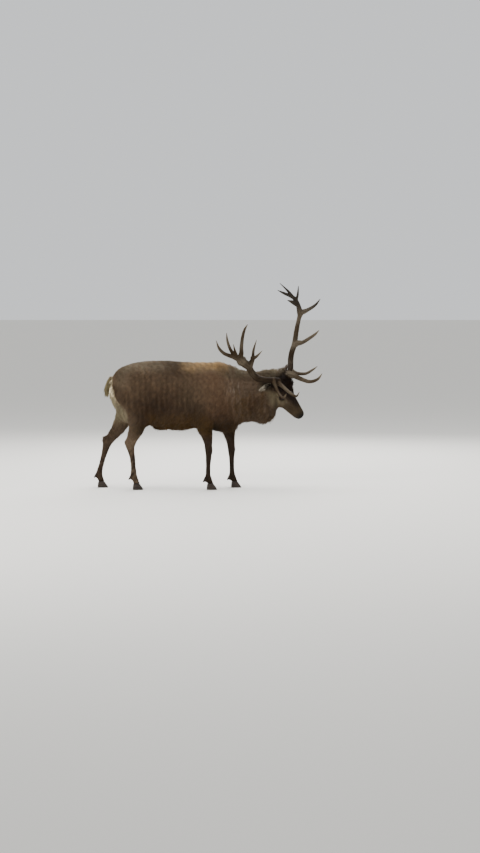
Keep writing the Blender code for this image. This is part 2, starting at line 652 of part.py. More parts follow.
def beam_rings(line, radii, extra=0.0):
    """Rings along a beam, two to each step of its line, and the beam's way at each. With extra
    added to its thickness it is the cutter that clears it for the tines."""
    rows = flow(np.column_stack([line, radii]), 2 * len(line) - 1)
    across, above = axes(rows[:, :3], np.array((0, 1, 0)))
    thick = rows[:, 3] + extra
    way = unit(np.gradient(rows[:, :3], axis=0))
    rings = oval(rows[:, :3], across, above, thick, thick, thick, 10)
    rings[0] -= extra * way[0]
    rings[-1] += extra * way[-1]
    return rings, way


def antler_line(side):
    """The beam's middle line from the burr on, its thickness at each place, and where it forks."""
    foot, burr = mirrored(PEDICLE, SIDES[side]), mirrored(BURR, SIDES[side])
    way = (burr - foot).normalized()
    line = [np.array(burr + way * rise * CM) for rise in (0.0, 1.8)] + [np.array(p) for p in BEAM[side]]
    fork = FORK_AT[side] + 2
    radii = np.interp(np.arange(len(line)), [2, fork, len(line) - 2, len(line) - 1], BEAM_RADII[side])
    radii[:2] = CORONET_RADII
    return line, radii * CM, fork


def make_antler(side):
    line, radii, fork = antler_line(side)
    rings, way = beam_rings(line, radii)
    cut = 2 * fork
    for length, step, kept in (("beam", -0.5, slice(0, cut + 1)), ("upper_beam", 0.5, slice(cut, None))):
        shifted = rings.copy()
        shifted[cut] += step * GAP * way[cut]
        place(loft(shifted[kept]), f"antler_{side}_{length}", "antler")
    name = f"antler_{side}"
    clearing = [bpy.data.objects[f"cut_{name}"]]
    for tine, lines in TINES[side].items():
        whole = place(tine_mesh(lines[0]), f"{name}_{tine}", "antler")
        for number, extra in enumerate(lines[1:]):
            fork = place(tine_mesh(extra, 5), f"join_{name}_{tine}_{number}")
            boolean(whole, fork, "UNION", "MANIFOLD")
        settle(whole)
        for neighbour in clearing:
            boolean(whole, neighbour, solver="MANIFOLD")
        settle(whole)
        clearing.append(place(tine_mesh(lines[0], extra=GAP), f"cut_{name}_{tine}"))


# ---------------------------------------------------------------- the whole stag
body = melted_body()
trim_for_neighbours(body)
part_body(body)
place(tail_mesh(), "tail", "coat")
for side in SIDES:
    make_ear(side)
    make_eye(side)
    make_antler(side)
for which, side in LEGS:
    for step in (-1, 1):
        make_claw(which, side, step)

# Brings the drawing to life size, with the origin under the middle of the whole.
corners = np.array([v.co for made in parts.objects for v in made.data.vertices])
middle = (corners.min(axis=0) + corners.max(axis=0)) / 2
to_life = Matrix.Scale(SCALE, 4) @ Matrix.Translation((-middle[0], -middle[1], 0))
for made in [*parts.objects, *helpers.objects]:
    made.data.transform(to_life)
print("origin under", middle[:2].round(4), "triangles",
      sum(len(p.vertices) - 2 for made in parts.objects for p in made.data.polygons))
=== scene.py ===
"""The looks of a life-size red deer stag that walks with its neck level and its head bowed.

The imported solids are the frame: they give every place and the outline at the coat's tips. Over them
come one skin with its hair, the eyes, the antlers and the claws. Places on the body are given as on
the maker's drawing, in metres on a stag 1.275 m high at the withers, and those on the head in real
centimetres from the brow.
"""

import bmesh
import bpy
import numpy as np
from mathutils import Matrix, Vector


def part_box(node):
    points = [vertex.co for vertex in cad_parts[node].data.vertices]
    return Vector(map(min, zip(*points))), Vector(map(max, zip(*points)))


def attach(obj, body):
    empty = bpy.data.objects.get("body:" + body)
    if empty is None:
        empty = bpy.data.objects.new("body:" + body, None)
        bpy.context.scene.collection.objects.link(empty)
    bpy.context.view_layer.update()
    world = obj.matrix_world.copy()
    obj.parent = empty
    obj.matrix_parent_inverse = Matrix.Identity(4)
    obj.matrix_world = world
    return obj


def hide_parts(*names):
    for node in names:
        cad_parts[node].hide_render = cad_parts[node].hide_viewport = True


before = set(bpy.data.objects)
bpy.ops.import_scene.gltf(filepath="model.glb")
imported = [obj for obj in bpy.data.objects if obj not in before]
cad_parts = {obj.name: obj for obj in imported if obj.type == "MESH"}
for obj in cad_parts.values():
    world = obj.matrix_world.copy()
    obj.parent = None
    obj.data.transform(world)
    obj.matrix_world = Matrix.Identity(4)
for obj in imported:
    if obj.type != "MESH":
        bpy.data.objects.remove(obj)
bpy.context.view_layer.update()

# ---------------------------------------------------------------- How the stag stands
# The head is bowed by half a right angle and rolled to its right, with axes of its own: towards the
# nose, to the stag's left, and out of the forehead. The two eyeballs of the solids fix where it is.
CM, MM = 0.01, 0.001
LIFE = 1.15 / 1.275  # the stag's height over the drawing's
SIDES = {"right": -1.0, "left": 1.0}
EYE = np.array([10.8, 6.5, -7.6])  # the left eyeball's middle, from the brow
EYE_RADIUS = 1.75
EYE_OUTWARD, EYE_ALONG = (0.24, 0.95, 0.20), (0.94, -0.24, -0.30)  # the left eye's, in the head's axes
BROW_DRAWN = np.array([0.762, -0.060, 1.077])


def unit(v):
    """Ways brought to length 1."""
    return v / np.maximum(np.linalg.norm(v, axis=-1, keepdims=True), 1e-9)


def rise(value, start, end):
    """0 before start, 1 past end, and an S curve 3t^2 - 2t^3 between them."""
    t = np.clip((value - start) / (end - start), 0, 1)
    return t * t * (3 - 2 * t)


NOSEWARD = unit(np.array([0.565, -0.210, -0.798]))
UPWARD = np.array([0.381, -0.780, 0.496])
UPWARD = unit(UPWARD - NOSEWARD * (UPWARD @ NOSEWARD))
LEFTWARD = np.cross(UPWARD, NOSEWARD)
HEAD_AXES = np.array([NOSEWARD, LEFTWARD, UPWARD])
eye_places = {side: np.mean([np.array(c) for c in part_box(f"eye_{side}")], axis=0) for side in SIDES}
BROW = (eye_places["left"] + eye_places["right"]) / 2 - EYE * (1, 0, 1) @ HEAD_AXES * CM
ORIGIN = (BROW_DRAWN - BROW / LIFE) * (1, 1, 0)


def drawn(points):
    """Real places as places on the drawing."""
    return points / LIFE + ORIGIN


def placed(points):
    """Places on the drawing as real ones."""
    return (np.asarray(points, float) - ORIGIN) * LIFE


def in_head(forward, left, up):
    """The real place of one in the head's centimetres."""
    return BROW + np.array([forward, left, up]) @ HEAD_AXES * CM


def head_place(points):
    """Real places in the head's centimetres, as three rows: forward, left and up."""
    return ((points - BROW) @ HEAD_AXES.T / CM).T


def across_eye(side):
    """An eye's own axes among the head's: along its opening, out of the socket, and up across the lids."""
    outward = unit(np.array(EYE_OUTWARD) * (1, SIDES[side], 1))
    along = np.array(EYE_ALONG) * (1, SIDES[side], 1)
    along = unit(along - outward * (along @ outward))
    return np.array([along, outward, np.cross(along, outward) * -SIDES[side]])


eye_axes = {side: across_eye(side) for side in SIDES}


def from_eye(points, side):
    """Places from an eyeball's middle, in centimetres along its own axes."""
    return (head_place(points).T - EYE * (1, SIDES[side], 1)) @ eye_axes[side].T


WAVES = 14
PHASES = 6.28  # the waves start anywhere in about a full turn


def waves(points, length, seed, stretch=(1, 1, 1)):
    """Smooth random relief about 0: the sum of sine waves of about that length in random directions,
    each with its own phase. Stretch lengthens them along an axis."""
    rng = np.random.default_rng(seed)
    way = unit(rng.normal(size=(WAVES, 3))) / np.array(stretch)
    pitch = rng.uniform(0.6, 1.6, (WAVES, 1)) * 2 * np.pi / length
    return np.sin(points @ (pitch * way).T + rng.uniform(0, PHASES, WAVES)).sum(axis=1) / np.sqrt(WAVES)


# ---------------------------------------------------------------- Markings of the coat
# The rutting coat is dark warm brown, tan over the withers, greyer on rump and nape and near black on
# the forehead, with olive cheeks. Skin and hair both take their colour from here, place by place.
# Some of this colour is painted light: shade low on the trunk, on the belly and on the far hind leg, and
# highlights along the top of the back and on the neck's folds.
HAIR = {
    # The belly colour is the underside's own dark brown, made darker still as painted shade under the body.
    "brown": "#675441", "dark": "#312010", "grey": "#746855", "tan": "#a4855c", "belly": "#2b1e0c",
    "russet": "#6a503b", "neck": "#544537", "mane": "#44331f", "cheek": "#7a6e57", "brow": "#150802",
    "muzzle": "#3a2f1f", "nose": "#0d0a07", "leg": "#3a2c20", "hock": "#7e6a55", "shin": "#2a1f15",
    "patch": "#dccba8", "inner": "#d9cfba", "thigh": "#8c8268", "tail": "#7a6f51", "lid": "#100b09",
    # The pale neck streak colour is a painted highlight on the crests of the neck's folds.
    "chin": "#5a4f3c", "nape": "#6d6350", "fold_highlight": "#85776a", "ochre": "#523b18",
}
LEAST_COLOUR = 0.002  # hair is never blacker than this
NAPE = np.array([0.648, 0.020, 1.020])  # where the neck meets the head
NAPE_WAY = np.array([0.860, -0.420, -0.290])
THIGH_REAR = ([0.70, 0.77, 0.81, 0.84, 0.87, 0.90, 0.95, 1.05, 1.12],  # heights, and how far back it is
              [-0.785, -0.790, -0.800, -0.820, -0.858, -0.890, -0.920, -0.945, -0.942])
JAW = ([-10, -5, 1, 9, 18, 24, 35],  # along the head, and how far down its lower edge is
       [-12, -16.5, -21.4, -23.6, -21.6, -19.2, -12.5])
MOUTH = [(35.6, 0.0, -9.7), (34.8, 2.0, -10.0), (32.4, 3.7, -11.0), (29.0, 4.3, -12.3), (25.8, 4.6, -13.8)]


def linear(colour):
    """An sRGB hex colour as linear light."""
    value = np.array([int(colour[i:i + 2], 16) for i in (1, 3, 5)]) / 255
    return np.where(value > 0.04045, ((value + 0.055) / 1.055) ** 2.4, value / 12.92)


def mixed(colour, name, amount, palette=HAIR):
    """A colour of the palette laid over others, by an amount from 0 to 1 at each place."""
    amount = np.clip(amount, 0, 1)[:, None]
    return colour * (1 - amount) + linear(palette[name]) * amount


def spot(x, z, middle, reach):
    """A soft spot on the stag's side: a bell curve of the distance from its middle over its reach."""
    return np.exp(-(((x - middle[0]) / reach[0]) ** 2) - ((z - middle[1]) / reach[1]) ** 2)


def along_line(places, line, wide, high):
    """How high the places on the head stand along a line: a bell curve of the distance to it."""
    line = np.asarray(line, float)
    nearest = np.full(len(places), np.inf)
    for start, end in zip(line[:-1], line[1:]):
        way = end - start
        share = np.clip((places - start) @ way / (way @ way), 0, 1)
        nearest = np.minimum(nearest, np.linalg.norm(places - start - share[:, None] * way, axis=1))
    return high * np.exp(-(nearest / wide) ** 2)


def regions(points):
    """How far each place belongs to each part of the coat, from 0 to 1. Every part is a product of S
    curves between two bounds: x, y and z are on the drawing, f, l and u in the head's centimetres."""
    x, y, z = drawn(points).T
    f, l, u = head_place(points)
    past_nape = (drawn(points) - NAPE) @ NAPE_WAY
    over_jaw = u - np.interp(f, *JAW)
    part = {"head": rise(past_nape, -0.03, 0.05) * rise(over_jaw, -2.6, 0.4) * (1 - rise(abs(l), 15.5, 21.0))}
    bare = 1 - part["head"]

    part["neck"] = rise(x + 0.28 * (z - 0.92), 0.16, 0.34) * bare
    part["mane"] = part["neck"] * (1 - rise(z, 0.84, 1.06))
    part["throat"] = part["mane"] * rise(x, 0.46, 0.58)
    part["nape"] = part["neck"] * rise(z, 1.10, 1.20)
    part["brisket"] = rise(x, 0.06, 0.22) * (1 - rise(z, 0.66, 0.80)) * bare * rise(z, 0.56, 0.60)

    part["belly"] = (1 - rise(z, 0.62, 0.72)) * rise(z, 0.56, 0.61) * (1 - rise(x, 0.10, 0.20))
    part["paunch"] = part["belly"] * np.exp(-(((x + 0.22) / 0.20) ** 2))
    part["sheath"] = (1 - rise(np.hypot(x + 0.43, y * 1.4), 0.07, 0.14)) * (1 - rise(z, 0.61, 0.66))
    part["leg"] = (1 - rise(z, 0.47, 0.60)) * bare
    part["shin"] = (1 - rise(z, 0.32, 0.50)) * bare

    ragged = 0.035 * waves(points, 0.13, 17)
    part["withers"] = (rise(x + ragged, -0.30, -0.06) * (1 - rise(x + ragged, 0.20, 0.34))
                       * rise(z - 0.10 * abs(y) + 0.5 * ragged, 1.13, 1.235))
    part["rump"] = (1 - rise(x, -0.88, -0.60)) * (1 - part["leg"])
    part["tail"] = (1 - rise(x, -0.968, -0.945)) * rise(z, 0.90, 0.93)
    rear = np.interp(z, *THIGH_REAR)
    part["thigh"] = ((1 - rise(abs(y), 0.175, 0.205)) * (1 - rise(x, rear - 0.006, rear + 0.012))
                     * rise(z, 0.64, 0.74) * (1 - part["tail"]) * (1 - rise(z, 1.08, 1.14)))
    edge = 1 - rise(abs(x - rear - 0.003), 0.005, 0.013)
    part["patch"] = (edge * (0.60 + 0.40 * rise(z, 0.80, 0.90)) * rise(z, 0.72, 0.78)
                     * (1 - rise(z, 1.12, 1.16)) * (1 - rise(abs(y), 0.17, 0.20)))

    part["brow"] = part["head"] * rise(u, -5.4, -2.2) * (1 - rise(f, 22, 32)) * rise(f, -7.5, -3.5)
    part["cheek"] = (rise(past_nape, -0.10, 0.02) * rise(over_jaw, -8.0, -1.0) * (1 - rise(abs(l), 14, 19))
                     * (1 - rise(u, -7.5, -4.0)) * (1 - rise(f, 15, 26)) * rise(z, 0.79, 0.87))
    part["poll"] = (rise(past_nape, -0.10, 0.0) * (1 - rise(f, -7.5, -3.5)) * rise(u, -9, -4))
    part["lid"] = sum((1 - rise(np.hypot(p / 2.0, q / 1.5), 0.95, 1.35)) * (h > -1)
                      for p, h, q in (from_eye(points, side).T for side in SIDES))
    part["muzzle"] = part["head"] * rise(f, 14, 24)
    part["nose"] = part["head"] * rise(f, 32.9, 34.3) * (1 - rise(abs(u + 6.6), 2.2, 3.4))
    return part


def coat_colour(points):
    """The colour of skin or hair rooted at each place: each marking is laid over those before it, and
    waves drawn out along the hang of the hair streak and mottle it."""
    part = regions(points)
    x, y, z = drawn(points).T
    f, l, u = head_place(points)
    colour = np.tile(linear(HAIR["brown"]), (len(points), 1))

    def lay(name, amount):
        nonlocal colour
        colour = mixed(colour, name, amount)

    # Trunk: darker downwards, partly as painted shade, russet behind the shoulder, grey on the back but for a
    # dark saddle.
    streak = waves(points, 0.075, 3, (0.6, 1.0, 3.2))
    blotch = waves(points, 0.26, 4, (1.0, 1.0, 1.5))
    # The lower trunk darkens downwards: partly the coat's own darker underside, partly painted shade under
    # the body.
    low = 1 - rise(z, 0.74, 1.16)
    lay("dark", 0.75 * low * (1 - 0.5 * part["rump"]) + 0.20 * streak + 0.12)
    lay("russet", 0.55 * (1 - rise(np.hypot(x - 0.14, (z - 0.98) * 0.8), 0.10, 0.36)) + 0.12 * blotch)
    saddle = np.exp(-(((x + 0.30) / 0.16) ** 2))
    # The grey along the top of the back is partly the coat's own grey and partly a painted highlight where
    # light falls on it.
    back_grey_and_highlight = rise(z, 1.13, 1.25) * (0.75 + 0.35 * streak) * (1 - part["neck"])
    lay("grey", back_grey_and_highlight + 0.28 * part["rump"] * blotch)
    # The dark saddle is the coat's own; the low sides darken again, partly their own colour and partly
    # painted shade.
    lay("dark", 0.7 * saddle * rise(z, 1.05, 1.2) + 0.30 * (1 - rise(z, 0.74, 1.0)) * (1 - part["rump"]))
    # The belly's own dark brown, laid on darker than it is as painted shade under the body.
    lay("belly", part["belly"] * 0.95 + part["brisket"] * 0.7)
    lay("tan", part["withers"] * (0.80 + 0.30 * streak))

    # Neck and legs.
    lay("neck", part["neck"] * (1 - part["withers"]) * 0.9)
    lay("mane", part["mane"] * (0.60 + 0.55 * streak) + 0.60 * part["neck"] * rise(streak, 0.2, 1.6))
    lay("nape", part["nape"] * (0.65 + 0.40 * streak) * (1 - part["withers"]))
    lay("leg", part["leg"] * 0.95)
    gaskin = 0.9 * part["rump"] * (1 - rise(z, 0.68, 0.92))
    lay("hock", (part["leg"] * 0.8 + gaskin) * (1 - rise(x, -0.65, -0.55)))
    lay("shin", part["shin"] * (0.7 + 0.3 * waves(points, 0.05, 5)))

    # Flank, ribs, painted highlights on the neck's folds and its dark blots, an ochre underline, and painted
    # shade on the left hind leg.
    lay("dark", 0.34 * spot(x, z, (-0.46, 0.93), (0.20, 0.15)))
    lay("grey", 0.16 * spot(x, z, (-0.04, 0.95), (0.20, 0.18)))
    # Painted highlight: pale streaks on the neck where the crests of its folds would catch the light.
    fold_highlights = rise(waves(points, 0.024, 15, (0.6, 4.0, 7.0)), 0.3, 1.3)
    lay("fold_highlight", 0.75 * fold_highlights * spot(x, z, (0.27, 1.02), (0.07, 0.12)))
    blots = rise(waves(points, 0.08, 16, (0.5, 1.0, 1.7)), -0.3, 0.6)
    lay("dark", (0.40 + 0.70 * blots) * spot(x, z, (0.475, 0.88), (0.075, 0.09)) * part["neck"])
    underline = 0.44 * (1 - rise(z, 0.71, 0.82)) * rise(x, -0.66, -0.50) * (1 - rise(x, 0.0, 0.1))
    lay("ochre", underline * (1 - part["leg"]))
    # Painted shade: the far, left hind leg is darker below the belly, where the body shades it.
    lay("leg", 0.65 * rise(y, 0.0, 0.04) * (1 - rise(x, -0.66, -0.56)) * (1 - rise(z, 0.62, 0.72)))

    # Hindquarters: buff thighs with a pale edge, and a tail paler at its hanging end.
    lay("thigh", part["thigh"] * (0.80 + 0.2 * streak))
    lay("patch", part["patch"] * (0.90 + 0.2 * streak))
    lay("tail", part["tail"] * 0.95)
    lay("patch", part["tail"] * rise(x, -1.000, -0.985) * (1 - rise(z, 0.98, 1.02)) * 0.8)

    # Head: olive cheeks, dark brow and eye, paler chin, black nose and lips, a mottled poll.
    lay("neck", part["head"] * 0.9)
    lay("cheek", part["cheek"] * (0.85 + 0.12 * blotch + 0.20 * streak))
    lay("muzzle", part["muzzle"] * 0.9)
    lay("brow", part["brow"] * 0.97)
    lay("brow", part["head"] * (1 - rise(np.hypot(f - 11.4, (u + 7.6) * 1.1), 2.4, 4.6)) * 0.8)
    lay("chin", part["muzzle"] * (1 - rise(u, -15.0, -13.0)) * 0.7)
    lay("nose", part["nose"])
    lay("nose", part["head"] * rise(f, 28, 34) * 0.72)
    lay("nose", along_line(np.column_stack([f, abs(l), u]), MOUTH, 0.45, 0.85) * part["head"])
    mottle = waves(points, 0.05, 13, (1.0, 1.0, 0.7))
    lay("nape", part["poll"] * (0.80 + 0.30 * mottle))
    lay("dark", part["poll"] * rise(-mottle, -0.2, 1.1) * 0.75)
    lay("lid", part["lid"])
    return colour * (1 + 0.10 * waves(points, 0.03, 6, (1, 1, 2.5)))[:, None]


def keep_colour(mesh, name, colours):
    """Keeps a colour for each point in the mesh, where its material reads it."""
    layer = mesh.color_attributes.new(name, "FLOAT_COLOR", "POINT")
    opaque = np.column_stack([colours, np.ones(len(colours))])
    layer.data.foreach_set("color", opaque.astype(np.float32).ravel())


def keep_place(mesh, name, places):
    """Keeps a place for each point in the mesh, on which its material lays a pattern."""
    layer = mesh.attributes.new(name, "FLOAT_VECTOR", "POINT")
    layer.data.foreach_set("vector", places.astype(np.float32).ravel())


def paint(mesh, colours):
    """Keeps the hair's colours."""
    keep_colour(mesh, "hair_colour", np.clip(colours, LEAST_COLOUR, 1))


# ---------------------------------------------------------------- Skin
# One skin covers trunk, neck, head, tail and legs, drawn tight over the flesh without a seam. It lies
# inside the solids by the depth of the coat, and gets its lids, gland, lips and nostrils on the head.
FLESH = ("trunk", "neck", "head", "tail", "foreleg", "hindleg")
SKIN_GRAIN = 9.6 * MM
MEETING = 0.02 * MM  # nearer than this, two corners of a solid's triangles are one
flesh_nodes = sorted(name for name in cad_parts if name.startswith(FLESH))


def add_node(tree, kind, settings=None, links=None):
    """Adds a shader node, sets its properties and sockets by name, and links its inputs."""
    node = tree.nodes.new(kind)
    for key, value in (settings or {}).items():
        if isinstance(key, str) and hasattr(node, key):
            setattr(node, key, value)
        else:
            node.inputs[key].default_value = value
    for key, source in (links or {}).items():
        tree.links.new(source, node.inputs[key])
    return node


def new_material(name, settings):
    """A material with a Principled shader whose sockets are set. Returns both and the node tree."""
    made = bpy.data.materials.new(name)
    made.use_nodes = True
    shader = made.node_tree.nodes["Principled BSDF"]
    for key, value in settings.items():
        shader.inputs[key].default_value = value
    return made, shader, made.node_tree


# Deer hair lies dense and dull, with a faint sheen from its tips, and is darker in the partings. A hair
# is a tenth of a millimetre and would not show, so its relief is drawn coarser: over the hide 2.4 mm
# across within clumps of 17 mm, seven times as long down the hang of the coat, and on a lock 0.7 mm
# across within clumps of 3 mm, along the lock's own length.
def hair_material(name, relief, roughness, along_lock):
    made, shader, tree = new_material(name, {
        "Roughness": roughness, "Sheen Weight": 0.03, "Sheen Roughness": 0.5, "Specular IOR Level": 0.08})
    colour = add_node(tree, "ShaderNodeAttribute", {"attribute_name": "hair_colour"}).outputs["Color"]
    if along_lock:
        fine, broad = 1400.0, 350.0
        hang = add_node(tree, "ShaderNodeAttribute", {"attribute_name": "strand"}).outputs["Vector"]
    else:
        fine, broad = 420.0, 60.0
        place = add_node(tree, "ShaderNodeTexCoord").outputs["Object"]
        hang = add_node(tree, "ShaderNodeMapping", {"Scale": (1.0, 1.0, 0.14)},
                        {"Vector": place}).outputs["Vector"]
    strands = add_node(tree, "ShaderNodeTexNoise", {"Scale": fine, "Detail": 4.0, "Roughness": 0.6},
                       {"Vector": hang}).outputs["Fac"]
    clumps = add_node(tree, "ShaderNodeTexNoise", {"Scale": broad, "Detail": 3.0},
                      {"Vector": hang}).outputs["Fac"]
    both = add_node(tree, "ShaderNodeMath", {"operation": "ADD"}, {0: strands, 1: clumps}).outputs[0]
    shade = add_node(tree, "ShaderNodeMapRange", {1: 0.65, 2: 1.35, 3: 0.62, 4: 1.36},
                     {0: both}).outputs[0]
    tinted = add_node(tree, "ShaderNodeVectorMath", {"operation": "SCALE"},
                      {0: colour, "Scale": shade}).outputs["Vector"]
    bump = add_node(tree, "ShaderNodeBump", {"Strength": relief, "Distance": 1.5 * MM}, {"Height": both})
    tree.links.new(tinted, shader.inputs["Base Color"])
    tree.links.new(bump.outputs["Normal"], shader.inputs["Normal"])
    return made


hide = hair_material("deer hide under short hair", 0.7, 0.75, False)
guard_hair = hair_material("deer guard hair", 0.5, 0.70, True)


def coat_depth(points):
    """How deep the coat is over each place, in millimetres: six on the trunk, and more or less of it,
    or a depth of its own, on each part."""
    part = regions(points)
    depth = 6.0 + 2.0 * part["withers"] + 3.0 * part["belly"] - 4.0 * part["brisket"] + 8.0 * part["sheath"]
    depth = depth - 7.0 * part["paunch"]
    depth = depth + (11.0 - depth) * part["neck"] + 9.0 * part["mane"] - 6.0 * part["throat"]
    depth = depth + (4.0 - depth) * part["leg"] - 1.0 * part["shin"] - 4.0 * part["tail"]
    at_poll = part["head"] * (1 - rise(head_place(points)[0], -6, 4))
    depth = depth + (4.5 - depth) * part["head"] + 6.0 * at_poll
    return np.maximum(depth - 3.2 * part["muzzle"] - 0.8 * part["nose"], 0.3)


def mesh_arrays(mesh):
    """A mesh of triangles as arrays: its points, their normals and its faces."""
    points = np.empty(len(mesh.vertices) * 3)
    mesh.vertices.foreach_get("co", points)
    normals = np.empty(len(mesh.vertices) * 3, np.float32)
    mesh.vertex_normals.foreach_get("vector", normals)
    faces = np.empty(len(mesh.polygons) * 3, np.int32)
    mesh.polygons.foreach_get("vertices", faces)
    return points.reshape(-1, 3), normals.reshape(-1, 3).astype(float), faces.reshape(-1, 3)


def edited(mesh, change):
    """Opens a mesh for editing, makes one change to its shape and puts it back."""
    shape = bmesh.new()
    shape.from_mesh(mesh)
    change(shape)
    shape.to_mesh(mesh)
    shape.free()
    mesh.update()


def melted(name, shape, grain, rounds, last=None):
    """One closed mesh of even grain out of the shapes in a bmesh, eased where they met by rounds of
    smoothing, with a last modifier if one is named."""
    mesh = bpy.data.meshes.new("rough")
    shape.to_mesh(mesh)
    shape.free()
    rough = bpy.data.objects.new("rough", mesh)
    bpy.context.scene.collection.objects.link(rough)
    melt = rough.modifiers.new("melt", "REMESH")
    melt.mode = "VOXEL"
    melt.voxel_size = grain
    ease = rough.modifiers.new("ease", "SMOOTH")
    ease.factor = 0.5
    ease.iterations = rounds
    if last:
        rough.modifiers.new("last", last)
    graph = bpy.context.evaluated_depsgraph_get()
    finished = bpy.data.meshes.new_from_object(rough.evaluated_get(graph))
    finished.name = name
    bpy.data.objects.remove(rough)
    bpy.data.meshes.remove(mesh)
    return finished


def refine(mesh, wanted):
    """Splits in four the faces whose middle is wanted, and leaves none of more than four corners."""
    def split(shape):
        chosen = wanted(np.array([face.calc_center_median() for face in shape.faces]))
        edges = [edge for edge in shape.edges if any(chosen[face.index] for face in edge.link_faces)]
        bmesh.ops.subdivide_edges(shape, edges=edges, cuts=1, use_grid_fill=True)
        bmesh.ops.triangulate(shape, faces=[face for face in shape.faces if len(face.verts) > 4])

    edited(mesh, split)


def near_face(points):
    """Where lids, gland, lips and nose need a finer grain."""
    f, l, u = head_place(points)
    eye = np.hypot(np.hypot(f - EYE[0] - 0.8, abs(l) - EYE[1]), u - EYE[2]) < 3.8
    return eye | ((f > 28) & (regions(points)["head"] > 0.5))


UPPER_LIP = [(a, b, c + 0.75) for a, b, c in MOUTH]
LOWER_LIP = [(a, b, c - 0.85) for a, b, c in MOUTH[:-1]]
GLAND = [(13.6, 6.4, -9.0), (15.2, 6.1, -9.8), (16.8, 5.7, -10.4)]  # before the eye
EYE_RIDGE = [(9.0, 7.0, -5.1), (12.0, 6.8, -5.0), (14.4, 5.8, -5.8)]
CHEEK_BONE = [(14.3, 6.2, -11.4), (8.8, 7.2, -11.6), (2.8, 7.5, -10.4)]
NOSTRIL = [(35.3, 1.2, -7.2), (35.2, 2.3, -6.6), (33.8, 3.1, -6.3)]
NOSTRIL_RIM = [(35.2, 1.2, -5.7), (34.4, 3.4, -5.2), (32.8, 4.0, -6.6)]
RELIEF = [  # each line's width and how far it stands out, or in where that is less than 0, in cm
    (MOUTH, 0.28, -0.42), (UPPER_LIP, 0.6, 0.16), (LOWER_LIP, 0.7, 0.22), (GLAND, 0.30, -0.45),
    (EYE_RIDGE, 1.1, 0.30), (CHEEK_BONE, 1.2, 0.30), (NOSTRIL, 0.52, -0.95), (NOSTRIL_RIM, 0.5, 0.22),
]
LID = 0.22  # a lid's thickness
OPENING = (1.50, 0.95)  # half length and half height of the opening between the lids
BEHIND_LIDS = 0.2  # how far from the eyeball's middle the skin lies that the lids hide
FOLDS = [  # by each eye: depth, its height over the middle, its bend and how far it goes
    (0.20, 1.95, -0.28, 2.4), (0.14, -1.75, 0.25, 2.2)]
FRONT = -1.2  # the lids are in front of this, from the eyeball's middle


def sculpt(points, normals):
    """Moves the skin of the head: grooves for mouth, gland and nostrils, ridges of brow, cheek bone and
    lips, and lids that lie on the eyeball round an almond opening."""
    fold = head_place(points).T.copy()
    fold[:, 1] = abs(fold[:, 1])
    lift = sum(along_line(fold, line, wide, high) for line, wide, high in RELIEF)
    moved = points + normals * (lift * CM)[:, None]
    for side in SIDES:
        p, h, q = from_eye(moved, side).T
        in_front = h > FRONT
        on_lid = np.sqrt(np.maximum((EYE_RADIUS + LID) ** 2 - p**2 - q**2, 0.0))
        hold = (1 - rise(np.hypot(p * 0.86, q), 1.35, 2.9)) * in_front
        settled = h + (on_lid - h) * hold
        for depth, height, bend, reach in FOLDS:
            off = q - height - bend * p**2
            settled = settled - depth * np.exp(-((off / 0.20) ** 2)) * (abs(p) < reach) * in_front
        inside = (1 - rise((p / OPENING[0]) ** 2 + (q / OPENING[1]) ** 2, 0.86, 1.0)) * in_front
        settled = settled + (BEHIND_LIDS - settled) * inside
        moved = moved + ((settled - h)[:, None] * eye_axes[side][1]) @ HEAD_AXES * CM
    return moved


def place_piece(mesh, material, replaced=()):
    """Puts a finished mesh on the stag."""
    made = bpy.data.objects.new(mesh.name, mesh)
    bpy.context.scene.collection.objects.link(made)
    mesh.materials.append(material)
    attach(made, "root")
    if replaced:
        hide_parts(*replaced)
    return made


def unwrap(made):
    """Lays a piece's surface out flat, as the map that its finish is kept on."""
    bpy.ops.object.select_all(action="DESELECT")
    bpy.context.view_layer.objects.active = made
    made.select_set(True)
    made.data.uv_layers.new(name="OFBake")
    bpy.ops.object.mode_set(mode="EDIT")
    bpy.ops.mesh.select_all(action="SELECT")
    bpy.ops.uv.smart_project(angle_limit=1.15, island_margin=0.002)
    bpy.ops.object.mode_set(mode="OBJECT")


whole = bmesh.new()
for name in flesh_nodes:
    whole.from_mesh(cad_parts[name].data)
bmesh.ops.remove_doubles(whole, verts=whole.verts, dist=MEETING)
skin = melted("skin", whole, SKIN_GRAIN, 9)
refine(skin, lambda middles: regions(middles)["head"] > 0.4)
refine(skin, near_face)
refine(skin, near_face)
edited(skin, lambda shape: bmesh.ops.triangulate(shape, faces=shape.faces))
points, normals, faces = mesh_arrays(skin)
points -= normals * (coat_depth(points) * MM)[:, None]
points = sculpt(points, normals)
skin.vertices.foreach_set("co", points.ravel())
skin.update()
skin.shade_smooth()
paint(skin, coat_colour(points))
unwrap(place_piece(skin, hide, flesh_nodes))

# ---------------------------------------------------------------- Coat
# Guard hair lies in locks over the skin: short on face and legs, longer on the trunk, and hanging in a
# shaggy mane under the neck. Each lock is a thin three-sided bar that tapers to a point.
MOST_TRIANGLES = 196_000  # in one piece of the coat
PATCH = 0.0015  # half of a lock's patch on the skin's unwrap
LOCK_TAPER = ([0, 0.3, 0.7, 1.0], [0.8, 1.0, 0.62, 0.0])  # along a lock, and its share of the width
LOCK_HEIGHT = 0.9  # of half its width
LOCK_VARIES = (0.75, 1.25)  # its length, width and lift against its field's
LOCK_SHADES = (0.78, 1.22)
LOCK_TONES = ([0, 0.4, 1], [0.72, 0.95, 1.12])  # along a lock, dark at its root and paler at its tip
LOCK_GRAIN = 0.12  # the relief on a lock is drawn out along it to eight times its width
TUFT = 0.035  # a tuft's width in metres
ROOT_DEPTH = 0.6 * MM
UP = np.array([0, 0, 1.0])


